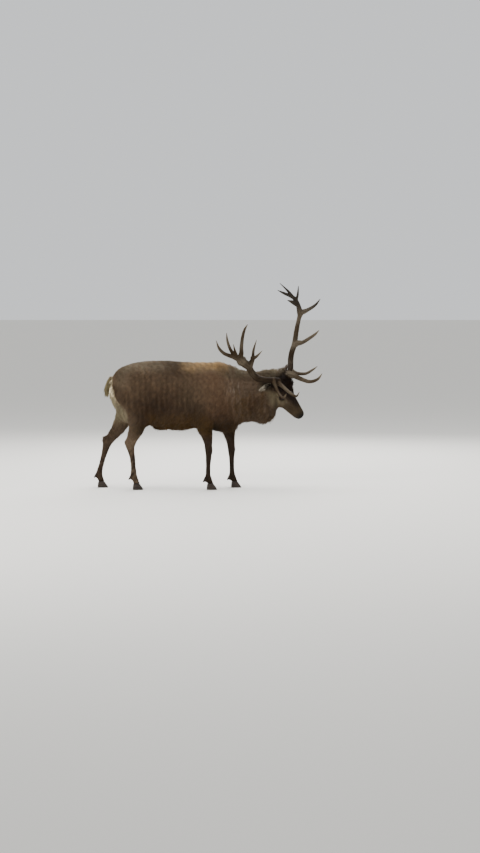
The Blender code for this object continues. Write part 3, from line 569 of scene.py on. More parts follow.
def ground_of(mesh):
    """What hair grows from: each triangle's corners, their normals and places on the unwrap, its area
    and its middle."""
    uv = np.empty(len(mesh.loops) * 2, np.float32)
    mesh.uv_layers["OFBake"].data.foreach_get("uv", uv)
    points, normals, faces = mesh_arrays(mesh)
    corners = points[faces]
    square = np.cross(corners[:, 1] - corners[:, 0], corners[:, 2] - corners[:, 0])
    return {"corners": corners, "normals": normals[faces], "uv": uv.reshape(-1, 3, 2),
            "areas": np.linalg.norm(square, axis=1) / 2, "middles": corners.mean(axis=1)}


def flat_on(way, normals):
    """A way laid flat on the surface."""
    return unit(way - normals * (way * normals).sum(axis=1, keepdims=True))


def lie_of_hair(points, normals):
    """Which way hair lies: back along the trunk and down its sides, down the neck and the legs, away
    from the nose on the head, and down the tail, always flat on the skin."""
    part = regions(points)
    z = drawn(points)[:, 2]
    way = np.tile([-1.0, 0, -0.12], (len(points), 1))

    def turn(towards, share):
        nonlocal way
        way = way * (1 - share)[:, None] + np.asarray(towards) * share[:, None]

    turn([-0.62, 0, -0.85], 1 - rise(z, 0.95, 1.24))
    turn([-0.30, 0, -1.0], part["neck"] * (1 - 0.55 * part["nape"]))
    turn([-0.2, 0, -1.0], part["rump"] * rise(-normals[:, 0], 0.1, 0.6))
    turn([-0.18, 0, -1.0], np.maximum(part["leg"], part["tail"]))
    turn(-NOSEWARD - 0.45 * UPWARD * part["cheek"][:, None], part["head"])
    swirl = 0.30 * waves(points, 0.10, 11)[:, None] * np.cross(normals, unit(way))
    return flat_on(unit(way) + swirl, normals)


def scatter(ground, wanted, seed):
    """Roots strewn evenly over the ground's triangles, as many to the square metre as wanted says of
    each triangle: their places, normals and places on the unwrap."""
    rng = np.random.default_rng(seed)
    count = np.floor(wanted * ground["areas"] + rng.random(len(ground["areas"]))).astype(int)
    face = np.repeat(np.arange(len(count)), count)
    a, b = rng.random((2, len(face)))
    over = a + b > 1
    a, b = np.where(over, 1 - a, a), np.where(over, 1 - b, b)
    share = np.column_stack([1 - a - b, a, b])
    between = [(ground[kept][face] * share[..., None]).sum(axis=1) for kept in ("corners", "normals", "uv")]
    return between[0], unit(between[1]), between[2]


def locks(roots, normals, lie, length, width, lift, bend, droop, sway, rings):
    """Points and faces of locks. At share t of its length a lock's middle is at root + length * (lie t
    + normal (lift t - bend t^2) + sideways sway t^2 - up droop t^2). It narrows to its tip."""
    across = np.cross(lie, normals)
    shares = np.linspace(0, 1, rings + 1)[:-1]

    def middle(t):
        curve = lie * t + normals * (lift * t - bend * t**2)[:, None]
        curve = curve + across * (sway * t**2)[:, None] - UP * (droop * t**2)[:, None]
        return roots + curve * length[:, None]

    made = np.empty((len(roots), 3 * rings + 1, 3))
    for i, (t, thick) in enumerate(zip(shares, np.interp(shares, *LOCK_TAPER))):
        half = (width * thick / 2)[:, None]
        centre = middle(t) - normals * (ROOT_DEPTH if i == 0 else 0.0)
        made[:, 3 * i] = centre - across * half
        made[:, 3 * i + 1] = centre + across * half
        made[:, 3 * i + 2] = centre + normals * half * LOCK_HEIGHT
    made[:, -1] = middle(1.0)
    one = [(0, 2, 1)]
    for low in range(0, 3 * rings - 3, 3):
        for j in range(3):
            k = (j + 1) % 3
            high = low + 3
            one += [(low + j, low + k, high + k), (low + j, high + k, high + j)]
    top = 3 * (rings - 1)
    one += [(top + j, top + (j + 1) % 3, top + 3) for j in range(3)]
    many = np.array(one) + (np.arange(len(roots)) * (3 * rings + 1))[:, None, None]
    return made, many.reshape(-1, 3)


def mesh_of(name, points, faces):
    """A smooth mesh from arrays of points and of triangles."""
    mesh = bpy.data.meshes.new(name)
    mesh.vertices.add(len(points))
    mesh.vertices.foreach_set("co", np.ascontiguousarray(points, np.float32).ravel())
    mesh.loops.add(faces.size)
    mesh.loops.foreach_set("vertex_index", np.ascontiguousarray(faces, np.int32).ravel())
    mesh.polygons.add(len(faces))
    mesh.polygons.foreach_set("loop_start", np.arange(0, faces.size, 3, dtype=np.int32))
    mesh.polygons.foreach_set("use_smooth", np.full(len(faces), True))
    mesh.update(calc_edges=True)
    return mesh


skin_ground = ground_of(skin)


def grow(name, slot, wanted, seed, length, width, lift, rings, droop=0.0, rough=0.35,
         ground=skin_ground, lie_of=lie_of_hair, colour_of=coat_colour):
    """Grows a field of locks on the ground and joins them into pieces of under 200,000 triangles.
    Length and width are in millimetres. Each measure is a number, or a function of the roots' places.
    Locks differ at random by a quarter, lean by rough and by tufts 35 mm across, and pale to the tip."""
    roots, normals, uv = scatter(ground, wanted, seed)
    rng = np.random.default_rng(seed + 1)
    count = len(roots)
    vary = rng.uniform(*LOCK_VARIES, (3, count))
    tuft = waves(roots, TUFT, seed + 2)
    lie = lie_of(roots, normals)
    lie = unit(lie + rough * 0.5 * rng.normal(size=(count, 1)) * np.cross(normals, lie))
    length, width, lift, droop = (np.broadcast_to(v(roots) if callable(v) else v, count)
                                  for v in (length, width, lift, droop))
    sway = rough * 0.6 * rng.normal(size=count)
    steep = lift * vary[2] * (1 + 0.45 * tuft)
    back_down = 0.85 if rings > 1 else 0.35
    made, faces = locks(roots, normals, lie, length * MM * vary[0], width * MM * vary[1],
                        steep, back_down * steep, droop * vary[2], sway, rings)
    colour = colour_of(roots) * (rng.uniform(*LOCK_SHADES, count) * (1 + 0.14 * tuft))[:, None]
    along = np.append(np.repeat(np.linspace(0, 1, rings + 1)[:-1], 3), 1.0)
    tone = np.interp(along, *LOCK_TONES)
    colours = colour[:, None] * tone[None, :, None]
    spread = np.column_stack([np.append(np.tile([-1.0, 1.0, 0.0], rings), 0.0), 2 * along - 1])
    patch = np.clip(uv[:, None] + spread[None] * PATCH, 0, 1)
    strand = np.empty(made.shape)
    strand[..., 0] = spread[:, 0] * (width * MM / 2)[:, None]
    strand[..., 1] = along * (length * MM * LOCK_GRAIN)[:, None]
    strand[..., 2] = rng.uniform(0, 1, (count, 1))
    each = len(faces) // max(count, 1)
    per_piece = MOST_TRIANGLES // each
    for number, start in enumerate(range(0, count, per_piece)):
        end = min(start + per_piece, count)
        block = faces[start * each:end * each] - start * (3 * rings + 1)
        mesh = mesh_of(f"coat_{name}_{number + 1}", made[start:end].reshape(-1, 3), block)
        paint(mesh, colours[start:end].reshape(-1, 3))
        keep_place(mesh, "strand", strand[start:end])
        layer = mesh.uv_layers.new(name="OFBake")
        layer.data.foreach_set("uv", patch[start:end].reshape(-1, 2)[block].astype(np.float32).ravel())
        place_piece(mesh, guard_hair)


def between_legs(places):
    """1 along the middle of the underside, 0 at its sides."""
    return 1 - rise(abs(drawn(places)[:, 1]), 0.07, 0.12)


# How long the locks are at each place, in millimetres, and how far they lift off the skin.
def trunk_length(places):
    part = regions(places)
    brisket = 32 * part["brisket"] * between_legs(places)
    return 30 + 10 * part["withers"] + 10 * part["belly"] + brisket + 18 * part["paunch"]


def under_lift(places):
    part = regions(places)
    return 0.34 + 0.60 * np.clip(part["paunch"] + part["brisket"] * between_legs(places), 0, 1)


def neck_length(places):
    part = regions(places)
    hang = 38 + 12 * part["nape"] + 8 * part["mane"] + 18 * part["throat"]
    return hang * (1 - 0.55 * rise(part["head"], 0.05, 0.6))


def mane_lift(places):
    return 0.50 + 0.35 * regions(places)["throat"]


def leg_length(places):
    return 16 - 5 * regions(places)["shin"]


# Each field's name and slot, its roots to the square metre, its seed, and its locks' length, width,
# lift, rings, droop and roughness.
middles, facing = skin_ground["middles"], skin_ground["normals"].mean(axis=1)
where = regions(middles)
trunk_share = (1 - where["head"]) * (1 - where["neck"]) * (1 - where["leg"]) * (1 - where["tail"])
under = np.clip(where["belly"] + where["brisket"] + where["sheath"], 0, 1)
crest = np.clip(where["poll"] + where["nape"] * rise(drawn(middles)[:, 0], 0.06, 0.22), 0, 1)
crest = crest * rise(facing[:, 2], 0.35, 0.75)
grow("trunk", "coat", 66000 * trunk_share * (1 - 0.5 * under), 21, trunk_length, 4.6, 0.26, 1)
grow("under", "coat", 22000 * under * (1 - where["leg"]), 31, trunk_length, 4.2, under_lift, 2, 0.10)
grow("neck", "mane", 88000 * where["neck"] * (1 - 0.45 * where["mane"]), 41, neck_length, 3.9, 0.42, 2, 0.10)
grow("mane", "mane", 40000 * where["mane"], 51, neck_length, 4.5, mane_lift, 3, 0.26, 0.45)
grow("crest", "mane", 60000 * crest, 56, 56, 4.2, 0.80, 2, 0.0, 0.8)
grow("legs", "leg", 120000 * where["leg"], 61, leg_length, 3.0, 0.20, 1)


# The tail's hair is longer towards its root. A fringe grows on its inner side, and long hair beneath it.
def tail_length(places):
    return 12 + 16 * rise(drawn(places)[:, 2], 0.95, 1.03)


def fringe_length(places):
    return 20 + 24 * rise(drawn(places)[:, 2], 0.94, 1.00)


def under_tail_length(places):
    _, y, z = drawn(places).T
    return 20 + 36 * rise(y + 0.3 * rise(z, 0.94, 1.0), -0.02, 0.06)


tail_inner = where["tail"] * rise(facing[:, 0], -0.1, 0.4)
under_tail = where["thigh"] * rise(-facing[:, 0], 0.2, 0.6) * rise(drawn(middles)[:, 2], 0.84, 0.90)
grow("tail", "coat", 100000 * where["tail"], 71, tail_length, 3.2, 0.16, 2, 0.05)
grow("tail_fringe", "coat", 110000 * tail_inner, 76, fringe_length, 3.0, 1.3, 2, 0.4)
grow("under_tail", "coat", 60000 * under_tail, 78, under_tail_length, 3.4, 1.0, 2, 0.3)


def off_eyes_and_nose(places):
    """1 where the face grows hair, and 0 on eyeballs, lids' edges and nose pad."""
    clear = 1 - regions(places)["nose"]
    for side in SIDES:
        p, h, q = from_eye(places, side).T
        clear = clear * ((np.hypot(p / 2.05, q / 1.50) > 1) | (h < -1))
    return clear


def forelock(places):
    """1 between the antlers, falling off along the head as a bell curve."""
    return np.exp(-(((head_place(places)[0] - 3) / 6.0) ** 2))


def forehead_length(places):
    return 22 + 26 * forelock(places) - 13 * rise(head_place(places)[0], 8, 24)


def forehead_lift(places):
    return 0.34 + 0.7 * forelock(places)


def muzzle_length(places):
    return 9 - 4 * rise(head_place(places)[0], 24, 34)


hairy = off_eyes_and_nose(middles) * where["head"]
back_of_head = 1 - rise(head_place(middles)[0], -5, 3)
grow("face", "face", 200000 * hairy * (1 - where["brow"]) * (1 - where["muzzle"]) * (1 - back_of_head), 81,
     13, 2.3, 0.20, 1)
grow("muzzle", "face", 240000 * hairy * where["muzzle"] * (1 - where["brow"]), 91,
     muzzle_length, 1.5, 0.16, 1)
grow("forehead", "face", 110000 * hairy * where["brow"], 101,
     forehead_length, 2.6, forehead_lift, 2, 0.0, 0.8)
grow("poll", "mane", 80000 * hairy * back_of_head * (1 - where["brow"]), 111, 30, 3.2, 0.24, 2, 0.10)

# ---------------------------------------------------------------- Ears
# A stag's ear is a cupped leaf of gristle under short hair, narrow at its root and pointed. Its back is
# as dark as the legs, its rim blackish, and long pale hair lies in its hollow towards the tip.
EAR_ROOT = (-4.6, 7.0, -3.6)  # the left ear's, in the head's centimetres
EAR_WAY = {"right": (0.02, 0.98, 0.17), "left": (-0.52, 0.78, -0.42)}
EAR_FRONT = (0.80, 0.35)  # its hollow faces this far towards the nose and out of the forehead
EAR_STUB, EAR_LENGTH, EAR_TIP = 3.0, 20.5, 0.6  # the hide ends short of the tip by the last
EAR_GRISTLE = 0.32
EAR_HAIR = 0.25  # the gristle lies inside the ear's outline by this
EAR = [  # share of its length, half width, half depth, how far its rims turn in
    (-0.12, 2.3, 2.1, 2.9), (0.0, 2.5, 2.1, 2.8), (0.2, 3.4, 1.9, 2.45), (0.45, 4.2, 1.7, 1.95),
    (0.7, 3.5, 1.2, 1.75), (0.88, 2.0, 0.8, 1.6), (1.0, 0.35, 0.25, 1.5),
]


def flow(rows, count):
    """Rows of numbers carried smoothly from the first to the last, as a Catmull-Rom curve does."""
    rows = np.asarray(rows, float)
    padded = np.vstack([2 * rows[0] - rows[1], rows, 2 * rows[-1] - rows[-2]])
    at = np.linspace(0, len(rows) - 1, count)
    first = np.minimum(at.astype(int), len(rows) - 2)
    t = (at - first)[:, None]
    a, b, c, d = (padded[first + step] for step in range(4))
    return 0.5 * (2 * b + (c - a) * t + (2 * a - 5 * b + 4 * c - d) * t**2 + (3 * b - a - 3 * c + d) * t**3)


def lofted(name, rings):
    """A closed mesh through rings of equal count, with a point at each end, its faces turned outwards."""
    rows, sides, _ = rings.shape
    row, side = np.meshgrid(np.arange(rows - 1), np.arange(sides), indexing="ij")
    a, b = row * sides + side, row * sides + (side + 1) % sides
    c, d = a + sides, b + sides
    walls = [np.stack([a, b, d], -1).reshape(-1, 3), np.stack([a, d, c], -1).reshape(-1, 3)]
    j = np.arange(sides)
    k = (j + 1) % sides
    last_ring, first_end = (rows - 1) * sides, rows * sides
    caps = [np.column_stack([k, j, np.full(sides, first_end)]),
            np.column_stack([j + last_ring, k + last_ring, np.full(sides, first_end + 1)])]
    ends = [rings[0].mean(axis=0), rings[-1].mean(axis=0)]
    mesh = mesh_of(name, np.concatenate([rings.reshape(-1, 3), ends]), np.concatenate([*walls, *caps]))
    edited(mesh, lambda shape: bmesh.ops.recalc_face_normals(shape, faces=shape.faces))
    return mesh


def ear_frame(side):
    """An ear's root in place, its way to the tip, the way its hollow faces, and the way across it."""
    sign = SIDES[side]
    forward, out, up = EAR_WAY[side]
    way = unit(NOSEWARD * forward + LEFTWARD * out * sign + UPWARD * up)
    front = NOSEWARD * EAR_FRONT[0] + UPWARD * EAR_FRONT[1]
    front = unit(front - way * (front @ way))
    root = in_head(EAR_ROOT[0], EAR_ROOT[1] * sign, EAR_ROOT[2])
    return root, way, front, np.cross(way, front)


def ear_rings(side, rows=64, half=26):
    """Rings of the ear. Each goes round the back from rim to rim at the angle a, at
    across * wide sin a - front * deep cos a, and back inside it by the gristle's thickness."""
    root, way, front, across = ear_frame(side)
    at, wide, deep, turned = flow(EAR, rows).T[..., None]
    from_middle = np.linspace(-1, 1, half)[None]
    angle = from_middle * turned
    cup = 0.9 * np.sin(np.pi * np.clip(at, 0, 1)) * (np.sin(angle) ** 2 - 0.5)

    def shell(inner):
        thick = EAR_GRISTLE * inner * (1 - 0.85 * np.clip(abs(from_middle), 0, 1) ** 6)
        out = np.maximum(wide - EAR_HAIR - thick, 0.12) * np.sin(angle)
        back = cup - np.maximum(deep - EAR_HAIR - thick, 0.10) * np.cos(angle)
        along = (EAR_STUB + at * (EAR_LENGTH - EAR_TIP - EAR_STUB)) + 0 * angle
        return along, out, back

    loop = [np.concatenate([outer, inner[:, ::-1]], axis=1) for outer, inner in zip(shell(0.0), shell(1.0))]
    return root + (loop[0][..., None] * way + loop[1][..., None] * across + loop[2][..., None] * front) * CM


def dress_ear(side):
    """An ear's hide, the short hair on its back and the long hair in its hollow."""
    root, way, front, across = ear_frame(side)
    shares, half_widths = np.array(EAR)[:, :2].T

    def in_ear(places):
        """The share of the way to the tip, and the share of the half width across."""
        rel = (places - root) / CM
        at = (rel @ way - EAR_STUB) / (EAR_LENGTH - EAR_STUB)
        return at, rel @ across / np.maximum(np.interp(at, shares, half_widths), 0.3)

    def back_colour(places):
        at, out = in_ear(places)
        rim = rise(abs(out), 0.86, 1.0) * 0.5 + rise(at, 0.80, 1.0) * 0.7
        return mixed(np.tile(linear(HAIR["leg"]), (len(places), 1)), "brow", rim)

    def hollow_colour(places):
        at, out = in_ear(places)
        dark = rise(at, 0.86, 1.0) * 0.6 + (1 - rise(at, 0.10, 0.55)) * 0.8 + rise(abs(out), 0.55, 0.9) * 0.6
        dark = np.clip(dark + 0.08 + 0.95 * waves(places, 0.011, 12), 0, 0.95)
        return mixed(np.tile(linear(HAIR["inner"]), (len(places), 1)), "brow", dark)

    def lie(places, normals):
        return flat_on(way + 0.25 * across * in_ear(places)[1][:, None], normals)

    mesh = lofted(f"ear_hide_{side}", ear_rings(side))
    unwrap(place_piece(mesh, hide, [f"ear_{side}"]))
    paint(mesh, back_colour(mesh_arrays(mesh)[0]))
    ground = ground_of(mesh)
    to_axis = root + ((ground["middles"] - root) @ way)[:, None] * way - ground["middles"]
    inside = (to_axis * unit(ground["normals"].mean(axis=1))).sum(axis=1) > 0
    own = {"ground": ground, "lie_of": lie}
    grow(f"ear_back_{side}", "face", 260000.0 * ~inside, 121, 10, 2.0, 0.18, 1,
         colour_of=back_colour, **own)
    grow(f"ear_hollow_{side}", "face", 60000.0 * inside, 131, 28, 1.7, 0.40, 2,
         colour_of=hollow_colour, **own)


for side in SIDES:
    dress_ear(side)

# ---------------------------------------------------------------- Eyes
# A deer's eye is a glossy ball, almost all dark brown iris with a level bar of a pupil, between black
# lids. Short lashes stand from the upper lid.
EYE_DARK, IRIS, PUPIL = "#0c0806", "#22140b", "#040303"
IRIS_EDGE = (0.60, 0.68)  # of the ball's radius, where the iris begins to fade and ends
PUPIL_HALF = (0.38, 0.17)  # along and across the opening
IRIS_RAYS = 47
LASHES, LASH_LENGTH, LASH_WIDTH = 34, 11 * MM, 0.9 * MM
LASH_LIFT, LASH_CURL = 0.1, 0.25
LASH_SPAN, LASH_RISE = 0.85, 1.04  # of the opening's half length and half height

# The cornea is wet, so it is nearly a mirror, over the brown of the iris.
cornea, shader, tree = new_material("wet cornea over brown iris", {
    "Roughness": 0.04, "IOR": 1.376, "Specular IOR Level": 0.18})
seen = add_node(tree, "ShaderNodeAttribute", {"attribute_name": "eye_colour"}).outputs["Color"]
tree.links.new(seen, shader.inputs["Base Color"])


def ball_rings(centre, axes, radius, rows=40, sides=56):
    """Rings of a sphere from its front pole to its back: the pole is on the middle one of its axes."""
    turn = np.linspace(0, 2 * np.pi, sides, endpoint=False)
    down = np.linspace(0.02, np.pi - 0.02, rows)[:, None]
    p, h, q = np.sin(down) * np.cos(turn), np.cos(down) + 0 * turn, np.sin(down) * np.sin(turn)
    local = p[..., None] * axes[0] + h[..., None] * axes[1] + q[..., None] * axes[2]
    return centre + local * radius


for side in SIDES:
    axes = eye_axes[side] @ HEAD_AXES
    globe = lofted(f"eyeball_{side}", ball_rings(eye_places[side], axes, (EYE_RADIUS - 0.02) * CM))
    p, h, q = (unit(mesh_arrays(globe)[0] - eye_places[side]) @ axes.T).T
    in_iris = (1 - rise(np.hypot(p, q), *IRIS_EDGE)) * (h > 0)
    in_pupil = (1 - rise(np.hypot(p / PUPIL_HALF[0], q / PUPIL_HALF[1]), 0.88, 1.05)) * (h > 0)
    rays = 1 + 0.25 * np.sin(np.arctan2(q, p) * IRIS_RAYS)
    colour = linear(EYE_DARK) * (1 - in_iris[:, None]) + linear(IRIS) * (in_iris * rays)[:, None]
    colour = colour * (1 - in_pupil[:, None]) + linear(PUPIL) * in_pupil[:, None]
    keep_colour(globe, "eye_colour", colour)
    place_piece(globe, cornea, [f"eye_{side}"])

    shares = np.linspace(-LASH_SPAN, LASH_SPAN, LASHES)
    lid_p, lid_q = OPENING[0] * shares, OPENING[1] * np.sqrt(1 - shares**2) * LASH_RISE
    lid_h = np.sqrt((EYE_RADIUS + LID) ** 2 - lid_p**2 - lid_q**2)
    on_lid = np.column_stack([lid_p, lid_h, lid_q])
    roots = eye_places[side] + on_lid @ axes * CM
    lie = unit(0.75 * unit(on_lid) @ axes + 0.45 * axes[2] + 0.25 * shares[:, None] * axes[0])
    upward = unit(np.tile(axes[2], (LASHES, 1)))
    each = np.ones(LASHES)
    lash, faces = locks(roots, upward, lie, LASH_LENGTH * each, LASH_WIDTH * each,
                        LASH_LIFT * each, -LASH_CURL * each, 0 * each, 0 * each, 3)
    mesh = mesh_of(f"lashes_{side}", lash.reshape(-1, 3), faces)
    paint(mesh, np.tile(linear(HAIR["lid"]), (len(mesh.vertices), 1)))
    place_piece(mesh, guard_hair)

# ---------------------------------------------------------------- Antlers
# Hard antler is dead bone, stained brown by sap and soil and grooved along its length. It is beaded
# near the pearly burr and rubbed paler and smooth at the tips. Beam and tines are one piece on each side.
# Painted shade darkens the crown of the left antler, and together with the sap the foot of the right beam.
ANTLER_GRAIN = 2.6 * MM
BEAM = {
    "right": [(0.664, -0.162, 1.093), (0.570, -0.200, 1.098), (0.492, -0.235, 1.120), (0.444, -0.285, 1.178),
              (0.417, -0.340, 1.228), (0.382, -0.415, 1.262), (0.350, -0.465, 1.290)],
    "left": [(0.833, -0.012, 1.186), (0.836, 0.025, 1.235), (0.838, 0.058, 1.290), (0.848, 0.068, 1.360),
             (0.876, 0.064, 1.450), (0.896, 0.066, 1.580), (0.920, 0.060, 1.700), (0.938, 0.050, 1.765)],
}
BEAM_RADII = {"right": (2.6, 3.1, 3.8, 3.6), "left": (2.7, 2.45, 1.95, 2.9)}
BURR_RADII = (3.7, 3.2)
BURR_HEIGHT = 1.8 * CM
PEDICLE, BURR = (0.2, 5.4, -1.6), (-1.8, 7.2, 1.4)  # the left ones, in the head's centimetres
TINES = {  # radius at the root, then places to the tip
    "right": [
        (1.50, (0.700, -0.140, 1.075), (0.755, -0.185, 1.030), (0.800, -0.235, 0.992),
         (0.850, -0.300, 0.955), (0.885, -0.365, 0.945), (0.910, -0.450, 0.990)),
        (1.35, (0.657, -0.172, 1.100), (0.683, -0.212, 1.030), (0.710, -0.270, 0.970),
         (0.738, -0.335, 0.936), (0.760, -0.395, 0.934), (0.783, -0.450, 0.972)),
        (1.40, (0.417, -0.340, 1.228), (0.452, -0.430, 1.318), (0.462, -0.505, 1.400),
         (0.490, -0.590, 1.500)),
        (1.35, (0.450, -0.430, 1.318), (0.490, -0.510, 1.337), (0.545, -0.600, 1.395)),
        (2.00, (0.319, -0.505, 1.313), (0.282, -0.540, 1.329), (0.235, -0.570, 1.344),
         (0.175, -0.600, 1.370), (0.128, -0.640, 1.420), (0.100, -0.680, 1.495)),
        (1.50, (0.300, -0.525, 1.325), (0.258, -0.545, 1.372), (0.229, -0.580, 1.425),
         (0.208, -0.620, 1.495), (0.200, -0.650, 1.570)),
        (1.30, (0.300, -0.525, 1.320), (0.285, -0.550, 1.375), (0.265, -0.600, 1.460)),
        (1.80, (0.328, -0.500, 1.318), (0.343, -0.515, 1.370), (0.344, -0.520, 1.430),
         (0.356, -0.518, 1.530), (0.376, -0.512, 1.600), (0.405, -0.510, 1.650)),
    ],
    "left": [
        (2.20, (0.820, -0.030, 1.154), (0.878, -0.066, 1.130), (0.945, -0.090, 1.100),
         (1.025, -0.130, 1.078), (1.098, -0.195, 1.105), (1.142, -0.255, 1.165)),
        (1.55, (0.834, -0.008, 1.190), (0.890, -0.034, 1.160), (0.980, -0.078, 1.156),
         (1.045, -0.100, 1.190), (1.100, -0.130, 1.232)),
        (1.75, (0.876, 0.064, 1.450), (0.950, 0.010, 1.464), (1.030, -0.085, 1.515),
         (1.075, -0.150, 1.550), (1.112, -0.200, 1.590)),
        (1.85, (0.938, 0.050, 1.765), (0.975, 0.052, 1.775), (1.030, 0.058, 1.802),
         (1.088, 0.068, 1.842), (1.136, 0.078, 1.902)),
        (1.50, (0.935, 0.045, 1.750), (0.915, 0.020, 1.820), (0.894, -0.005, 1.880),
         (0.905, -0.032, 1.945), (0.912, -0.048, 2.030)),
        (2.00, (0.935, 0.045, 1.750), (0.905, 0.015, 1.850), (0.870, -0.015, 1.905),
         (0.830, -0.045, 1.928), (0.765, -0.090, 1.955), (0.700, -0.128, 1.985)),
        (1.10, (0.850, -0.030, 1.920), (0.808, -0.075, 1.975), (0.722, -0.125, 2.055)),
        (1.80, (0.900, 0.010, 1.850), (0.850, -0.035, 1.868), (0.799, -0.068, 1.886)),
    ],
}
WEBS = {  # bone that fills the forks
    "right": [(2.30, (0.417, -0.340, 1.228), (0.453, -0.420, 1.302), (0.474, -0.470, 1.340)),
              (3.40, (0.350, -0.465, 1.290), (0.315, -0.508, 1.312), (0.270, -0.545, 1.331))],
    "left": [(1.90, (0.880, 0.055, 1.440), (0.920, 0.034, 1.468), (0.960, 0.003, 1.478))],
}
TIP_RADIUS = 0.26
GROOVE_HIGH, PEARL_HIGH, BEAD_HIGH, BURR_HIGH = 0.45, 0.9, 4.2, 1.5  # millimetres
# The last colour is painted shade for a crown that lies in shadow.
ANTLER = {"stain": "#2c2012", "groove": "#140b03", "rubbed": "#6b5d49", "grey": "#544b3e", "crown": "#1d1a18"}
WEATHERED = {"right": 0.30, "left": 0.64}  # how grey each antler is
# How dark the foot of each beam is: sap stain on both, and on the nearer right beam painted shade as well.
SAP_AND_SHADE = {"right": 0.95, "left": 0.70}  # how dark with sap the foot of each beam is
# Painted shade: how dark the left crown is made, as in shadow, between these heights.
CROWN_SHADE = {"right": 0.0, "left": 0.75}  # how black each crown is, between these heights
CROWN_FROM, CROWN_TO = 1.72, 1.86


def bone_line(places, radii, steps=9):
    """A tapering line in place: points, radii, how far along it they are, and two axes square to it."""
    rows = flow(np.column_stack([places, radii]), (len(places) - 1) * steps + 1)
    path, thick = rows[:, :3], rows[:, 3]
    along = np.append(0, np.cumsum(np.linalg.norm(np.diff(path, axis=0), axis=1)))
    way = unit(np.gradient(path, axis=0))
    across = unit(np.cross((0.0, 1.0, 0.0), way))
    return path, thick, along, across, np.cross(way, across)


def bone_mesh(name, line, flat=1.0, sides=20):
    """A closed mesh round a bone line: at the angle a, at radius * (across * flat cos a + above sin a)."""
    path, thick, _, across, above = line
    turn = np.linspace(0, 2 * np.pi, sides, endpoint=False)
    ring = np.cos(turn)[:, None] * across[:, None] * flat + np.sin(turn)[:, None] * above[:, None]
    return lofted(name, path[:, None] + thick[:, None, None] * ring)


def antler_lines(side):
    """The beam from its burr, then its tines and webs, each as a bone line. A tine tapers as the root of
    what is left of its length, and swells by a third into the beam."""
    sign = SIDES[side]
    foot, burr = (in_head(a, b * sign, c) for a, b, c in (PEDICLE, BURR))
    places = np.vstack([burr, burr + unit(burr - foot) * BURR_HEIGHT, placed(BEAM[side])])
    radii = np.interp(np.arange(len(places)), [2, 6, len(places) - 2, len(places) - 1], BEAM_RADII[side])
    radii[:2] = BURR_RADII
    lines = [bone_line(places, radii * CM)]
    for thick, *tine in TINES[side] + WEBS[side]:
        taper = thick * np.linspace(1, 0, len(tine)) ** 0.5 + TIP_RADIUS
        path, thin, along, across, above = bone_line(placed(tine), taper * CM)
        thin = thin * (1 + 0.30 * np.exp(-((along / (5.0 * CM)) ** 2)))
        lines.append((path, thin, along, across, above))
    return lines


def nearest_on(lines, points, block=4000):
    """For each point, where it lies on the bone line whose surface it is nearest: which line, the place
    square to it in its two axes, how far along it, its radius there, and how far from its tip."""
    path, thick, along, across, above = (np.concatenate([line[i] for line in lines]) for i in range(5))
    to_tip = np.concatenate([line[2][-1] - line[2] for line in lines])
    best = np.empty(len(points), int)
    for start in range(0, len(points), block):
        away = np.linalg.norm(points[start:start + block, None] - path[None], axis=2) - thick[None]
        best[start:start + block] = away.argmin(axis=1)
    rel = points - path[best]
    side_on, up_on = (rel * across[best]).sum(axis=1), (rel * above[best]).sum(axis=1)
    number = np.repeat(np.arange(len(lines)), [len(line[0]) for line in lines])[best]
    return number, side_on, up_on, along[best], thick[best], to_tip[best]


# Antler is bone stained by sap and weather: dull in its grooves, with a low polish on ridges and tips.
# Its streaks are 3 mm across and ten times as long, and its pits 1 mm.
bone, shader, tree = new_material("stained antler bone", {"IOR": 1.54, "Specular IOR Level": 0.10})
stain = add_node(tree, "ShaderNodeAttribute", {"attribute_name": "bone_colour"}).outputs["Color"]
grain = add_node(tree, "ShaderNodeAttribute", {"attribute_name": "bone_grain"}).outputs["Vector"]
streaks = add_node(tree, "ShaderNodeTexNoise", {"Scale": 330.0, "Detail": 4.0, "Roughness": 0.6},
                   {"Vector": grain}).outputs["Fac"]
place = add_node(tree, "ShaderNodeTexCoord").outputs["Object"]
pits = add_node(tree, "ShaderNodeTexNoise", {"Scale": 900.0, "Detail": 2.0}, {"Vector": place}).outputs["Fac"]
both = add_node(tree, "ShaderNodeMath", {"operation": "MULTIPLY_ADD", 1: 0.35},
                {0: pits, 2: streaks}).outputs[0]
shade = add_node(tree, "ShaderNodeMapRange", {1: 0.45, 2: 0.90, 3: 0.55, 4: 1.40}, {0: both}).outputs[0]
tinted = add_node(tree, "ShaderNodeVectorMath", {"operation": "SCALE"},
                  {0: stain, "Scale": shade}).outputs["Vector"]
polish = add_node(tree, "ShaderNodeMapRange", {1: 0.45, 2: 0.90, 3: 0.95, 4: 0.62}, {0: both}).outputs[0]
bump = add_node(tree, "ShaderNodeBump", {"Strength": 0.6, "Distance": 1.2 * MM}, {"Height": both})
tree.links.new(tinted, shader.inputs["Base Color"])
tree.links.new(polish, shader.inputs["Roughness"])
tree.links.new(bump.outputs["Normal"], shader.inputs["Normal"])


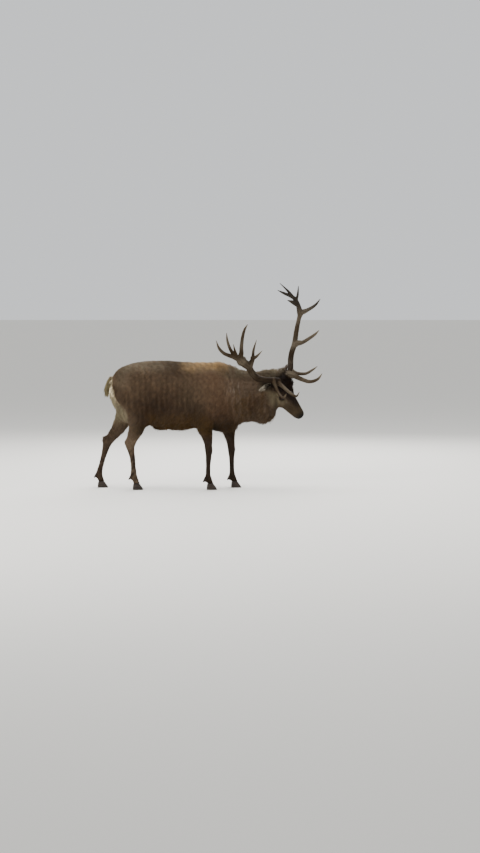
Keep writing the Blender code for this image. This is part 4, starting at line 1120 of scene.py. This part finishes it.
def grown_antler(side):
    """One antler: its lines melted into one, then grooved, pearled and stained along them, with painted shade
    on the left crown and the right beam's foot.
    """
    lines = antler_lines(side)
    whole = bmesh.new()
    for line in lines:
        piece = bone_mesh("bone", line)
        whole.from_mesh(piece)
        bpy.data.meshes.remove(piece)
    antler = melted(f"antler_bone_{side}", whole, ANTLER_GRAIN, 4, "TRIANGULATE")
    points, normals, _ = mesh_arrays(antler)
    number, side_on, up_on, along, thick, to_tip = nearest_on(lines, points)
    is_beam, is_tine = number == 0, (number > 0) & (number <= len(TINES[side]))

    def near_burr(reach):
        return np.where(is_beam, np.exp(-((along / (reach * CM)) ** 2)), 0)

    angle = np.arctan2(up_on, side_on)
    wander = waves(points, 0.10, 7) * 0.8
    worn = (1 - rise(to_tip, 1 * CM, 9 * CM)) * is_tine
    grooves = np.sin(9 * angle + 3 * wander) * 0.6 + np.sin(14 * angle - 4 * wander + 1.7) * 0.4
    pearls = np.clip(waves(points, 0.013, 8), 0, 2) ** 2 * near_burr(16)
    beads = abs(np.sin(8.5 * angle + wander)) * near_burr(1.5)
    lift = (GROOVE_HIGH * grooves * (1 - worn) * (0.5 + 0.5 * np.clip(thick / (2.4 * CM), 0, 1))
            + PEARL_HIGH * pearls + BEAD_HIGH * beads + BURR_HIGH * near_burr(1.5))
    points += normals * (lift * MM)[:, None]
    antler.vertices.foreach_set("co", points.ravel())
    antler.update()
    antler.shade_smooth()

    old = near_burr(30)
    # Sap stain at the foot of each beam, and on the right one painted shade too.
    sap_and_shade = SAP_AND_SHADE[side] * old * (0.8 + 0.3 * waves(points, 0.03, 14))
    polished = 0.16 * rise(grooves, 0.3, 1.0) * (1 - old)
    colour = np.tile(linear(ANTLER["stain"]), (len(points), 1))
    for name, amount in (
        ("grey", WEATHERED[side] + 0.3 * waves(points, 0.16, 9) - 0.6 * old),
        ("groove", 0.50 * rise(-grooves, 0.0, 0.9) * (1 - worn) + sap_and_shade),
        ("rubbed", 0.40 * worn**2 + polished + 0.20 * rise(pearls, 0.5, 2.0)),
        # Painted shade on the crown of the left antler.
        ("crown", CROWN_SHADE[side] * rise(drawn(points)[:, 2], CROWN_FROM, CROWN_TO)),
    ):
        colour = mixed(colour, name, amount, ANTLER)
    keep_colour(antler, "bone_colour", colour)
    keep_place(antler, "bone_grain", np.column_stack([side_on, up_on, along * 0.10]))
    return antler


for side in SIDES:
    bones = sorted(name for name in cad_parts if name.startswith(f"antler_{side}"))
    place_piece(grown_antler(side), bone, bones)

# ---------------------------------------------------------------- Hooves
# Each foot stands on two claws of black-brown horn, ringed by its growth, with two small dewclaws above
# and behind them. A claw is pointed towards the toe and flatter on the side of the cleft.
CLAW = [  # height, heel, toe and half width, as on the drawing
    (0.0600, -0.038, 0.020, 0.0150), (0.0560, -0.040, 0.0235, 0.0165), (0.036, -0.043, 0.038, 0.0180),
    (0.012, -0.0445, 0.054, 0.0188), (0.0030, -0.045, 0.0595, 0.0190), (0.0008, -0.0445, 0.059, 0.0186),
    (0.0, -0.043, 0.057, 0.0175),
]
CLAW_HEEL, CLAW_TOE = -0.045, 0.0595
CLEFT_FLATTENED = 0.86
GROWTH_RING = 0.0052  # from one ring of growth to the next
LEG_SIDE = 0.118  # from the middle plane to a foot's cleft

# Hoof horn is dull with wear, in bands of growth 4 mm high, black-brown to grey-brown.
HORN_DARK, HORN_GREY = "#15110e", "#3a3028"
horn, shader, tree = new_material("hoof horn", {"Roughness": 0.5, "IOR": 1.54, "Specular IOR Level": 0.18})
place = add_node(tree, "ShaderNodeTexCoord").outputs["Object"]
squeeze = add_node(tree, "ShaderNodeMapping", {"Scale": (0.5, 0.5, 6.0)}, {"Vector": place}).outputs["Vector"]
rings = add_node(tree, "ShaderNodeTexNoise", {"Scale": 45.0, "Detail": 3.0},
                 {"Vector": squeeze}).outputs["Fac"]
ramp = add_node(tree, "ShaderNodeMapRange", {1: 0.3, 2: 0.7}, {0: rings}).outputs[0]
mix = add_node(tree, "ShaderNodeMix", {
    "data_type": "RGBA", 6: (*linear(HORN_DARK), 1), 7: (*linear(HORN_GREY), 1)}, {0: ramp})
bump = add_node(tree, "ShaderNodeBump", {"Strength": 0.5, "Distance": 0.8 * MM}, {"Height": rings})
tree.links.new(mix.outputs[2], shader.inputs["Base Color"])
tree.links.new(bump.outputs["Normal"], shader.inputs["Normal"])


def claw_rings(low, high, inner):
    """Level rings of a claw from coronet to sole: at the angle a, heel or toe times cos a along and the
    half width times sin a across, both to a power just under 1."""
    height, heel, toe, wide = flow(CLAW, 34).T[..., None]
    turn = np.linspace(0, 2 * np.pi, 44, endpoint=False)
    c, s = np.cos(turn), np.sin(turn)
    along = np.where(c > 0, toe * abs(c) ** 0.95, heel * abs(c) ** 0.85)
    point = 1 - 0.42 * np.clip(along / CLAW_TOE, 0, 1) ** 1.6
    flat = np.where(s * inner > 0, CLEFT_FLATTENED, 1.0)
    growth = 1 + 0.012 * np.sin(2 * np.pi * height / GROWTH_RING + 0.8 * c) * rise(height, 0.004, 0.010)
    centre = np.array([low[0] - CLAW_HEEL * LIFE, (low[1] + high[1]) / 2, 0])
    x, y = along * growth, wide * np.sign(s) * abs(s) ** 0.9 * point * flat * growth
    return centre + np.stack([x, y, height + 0 * c], axis=-1) * LIFE


for node in sorted(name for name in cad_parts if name.startswith("hoof")):
    low, high = (np.array(corner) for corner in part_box(node))
    middle_y = (low[1] + high[1]) / 2
    to_cleft = np.sign(LEG_SIDE * LIFE * np.sign(middle_y) - middle_y)
    place_piece(lofted("claw" + node[4:], claw_rings(low, high, to_cleft)), horn, [node])

DEWCLAWS = {"fore_right": (-0.024, -0.118, 0.096), "fore_left": (0.215, 0.118, 0.096),
            "hind_right": (-0.766, -0.118, 0.119), "hind_left": (-1.129, 0.118, 0.119)}
DEWCLAW_RADII = np.array([1.0, 1.05, 0.72, 0.30]) * CM
DEWCLAW_FLATTENED = 0.8
for name, (x, y, z) in DEWCLAWS.items():
    for step, word in ((-0.018, "a"), (0.018, "b")):
        line = bone_line(placed([(x + 0.010, y + step, z + 0.012), (x, y + step * 1.05, z),
                                 (x - 0.010, y + step, z - 0.014), (x - 0.012, y + step, z - 0.020)]),
                         DEWCLAW_RADII)
        place_piece(bone_mesh(f"dewclaw_{name}_{word}", line, DEWCLAW_FLATTENED), horn)

# ---------------------------------------------------------------- Floor, light and camera
# Pale paper runs away to the horizon under soft lamps. A long lens looks down a little on the stag, from
# over its withers' height and sixteen metres off.
STAGE_SIZE = 900.0
half = STAGE_SIZE / 2
floor_mesh = bpy.data.meshes.new("studio_floor")
corners = [(-half, -half, 0), (half, -half, 0), (half, half, 0), (-half, half, 0)]
floor_mesh.from_pydata(corners, [], [(0, 1, 2, 3)])
# Matt paper gives an even pale ground with soft shadows. It has no pattern.
paper, _, _ = new_material("pale studio paper", {"Base Color": (*linear("#e4e1da"), 1), "Roughness": 0.9})
floor_mesh.materials.append(paper)
floor = bpy.data.objects.new("studio_floor", floor_mesh)
bpy.context.scene.collection.objects.link(floor)

CAMERA_DRAWN = (0.33, -18.0, 1.75)
CAMERA_DROP = 3.58  # degrees under level
CAMERA_LENS = 75.97  # millimetres
camera_data = bpy.data.cameras.new("camera")
camera_data.lens = CAMERA_LENS
camera = bpy.data.objects.new("camera", camera_data)
camera.location = placed(CAMERA_DRAWN)
camera.rotation_euler = (np.radians(90 - CAMERA_DROP), 0, 0)
bpy.context.scene.collection.objects.link(camera)
bpy.context.scene.camera = camera

LAMPS = {  # place, size, watts
    "sky_lamp": ((-0.5, 0.8, 6.5), 6.0, 620),
    "key_lamp": ((-4.5, -5.5, 4.2), 3.0, 340),
    "fill_lamp": ((5.5, -4.0, 2.2), 4.0, 90),
    "back_lamp": ((1.0, 5.0, 4.0), 4.0, 300),
}
for name, (place, size, watts) in LAMPS.items():
    lamp = bpy.data.lights.new(name, "AREA")
    lamp.size, lamp.energy = size, watts
    held = bpy.data.objects.new(name, lamp)
    held.location = place
    held.rotation_euler = (-held.location).to_track_quat("-Z", "Y").to_euler()
    bpy.context.scene.collection.objects.link(held)
AIR = (0.86, 0.88, 0.90)  # a pale cool light from all round
world = bpy.data.worlds.new("studio air")
world.use_nodes = True
world.node_tree.nodes["Background"].inputs["Color"].default_value = (*AIR, 1)
world.node_tree.nodes["Background"].inputs["Strength"].default_value = 1.0
bpy.context.scene.world = world
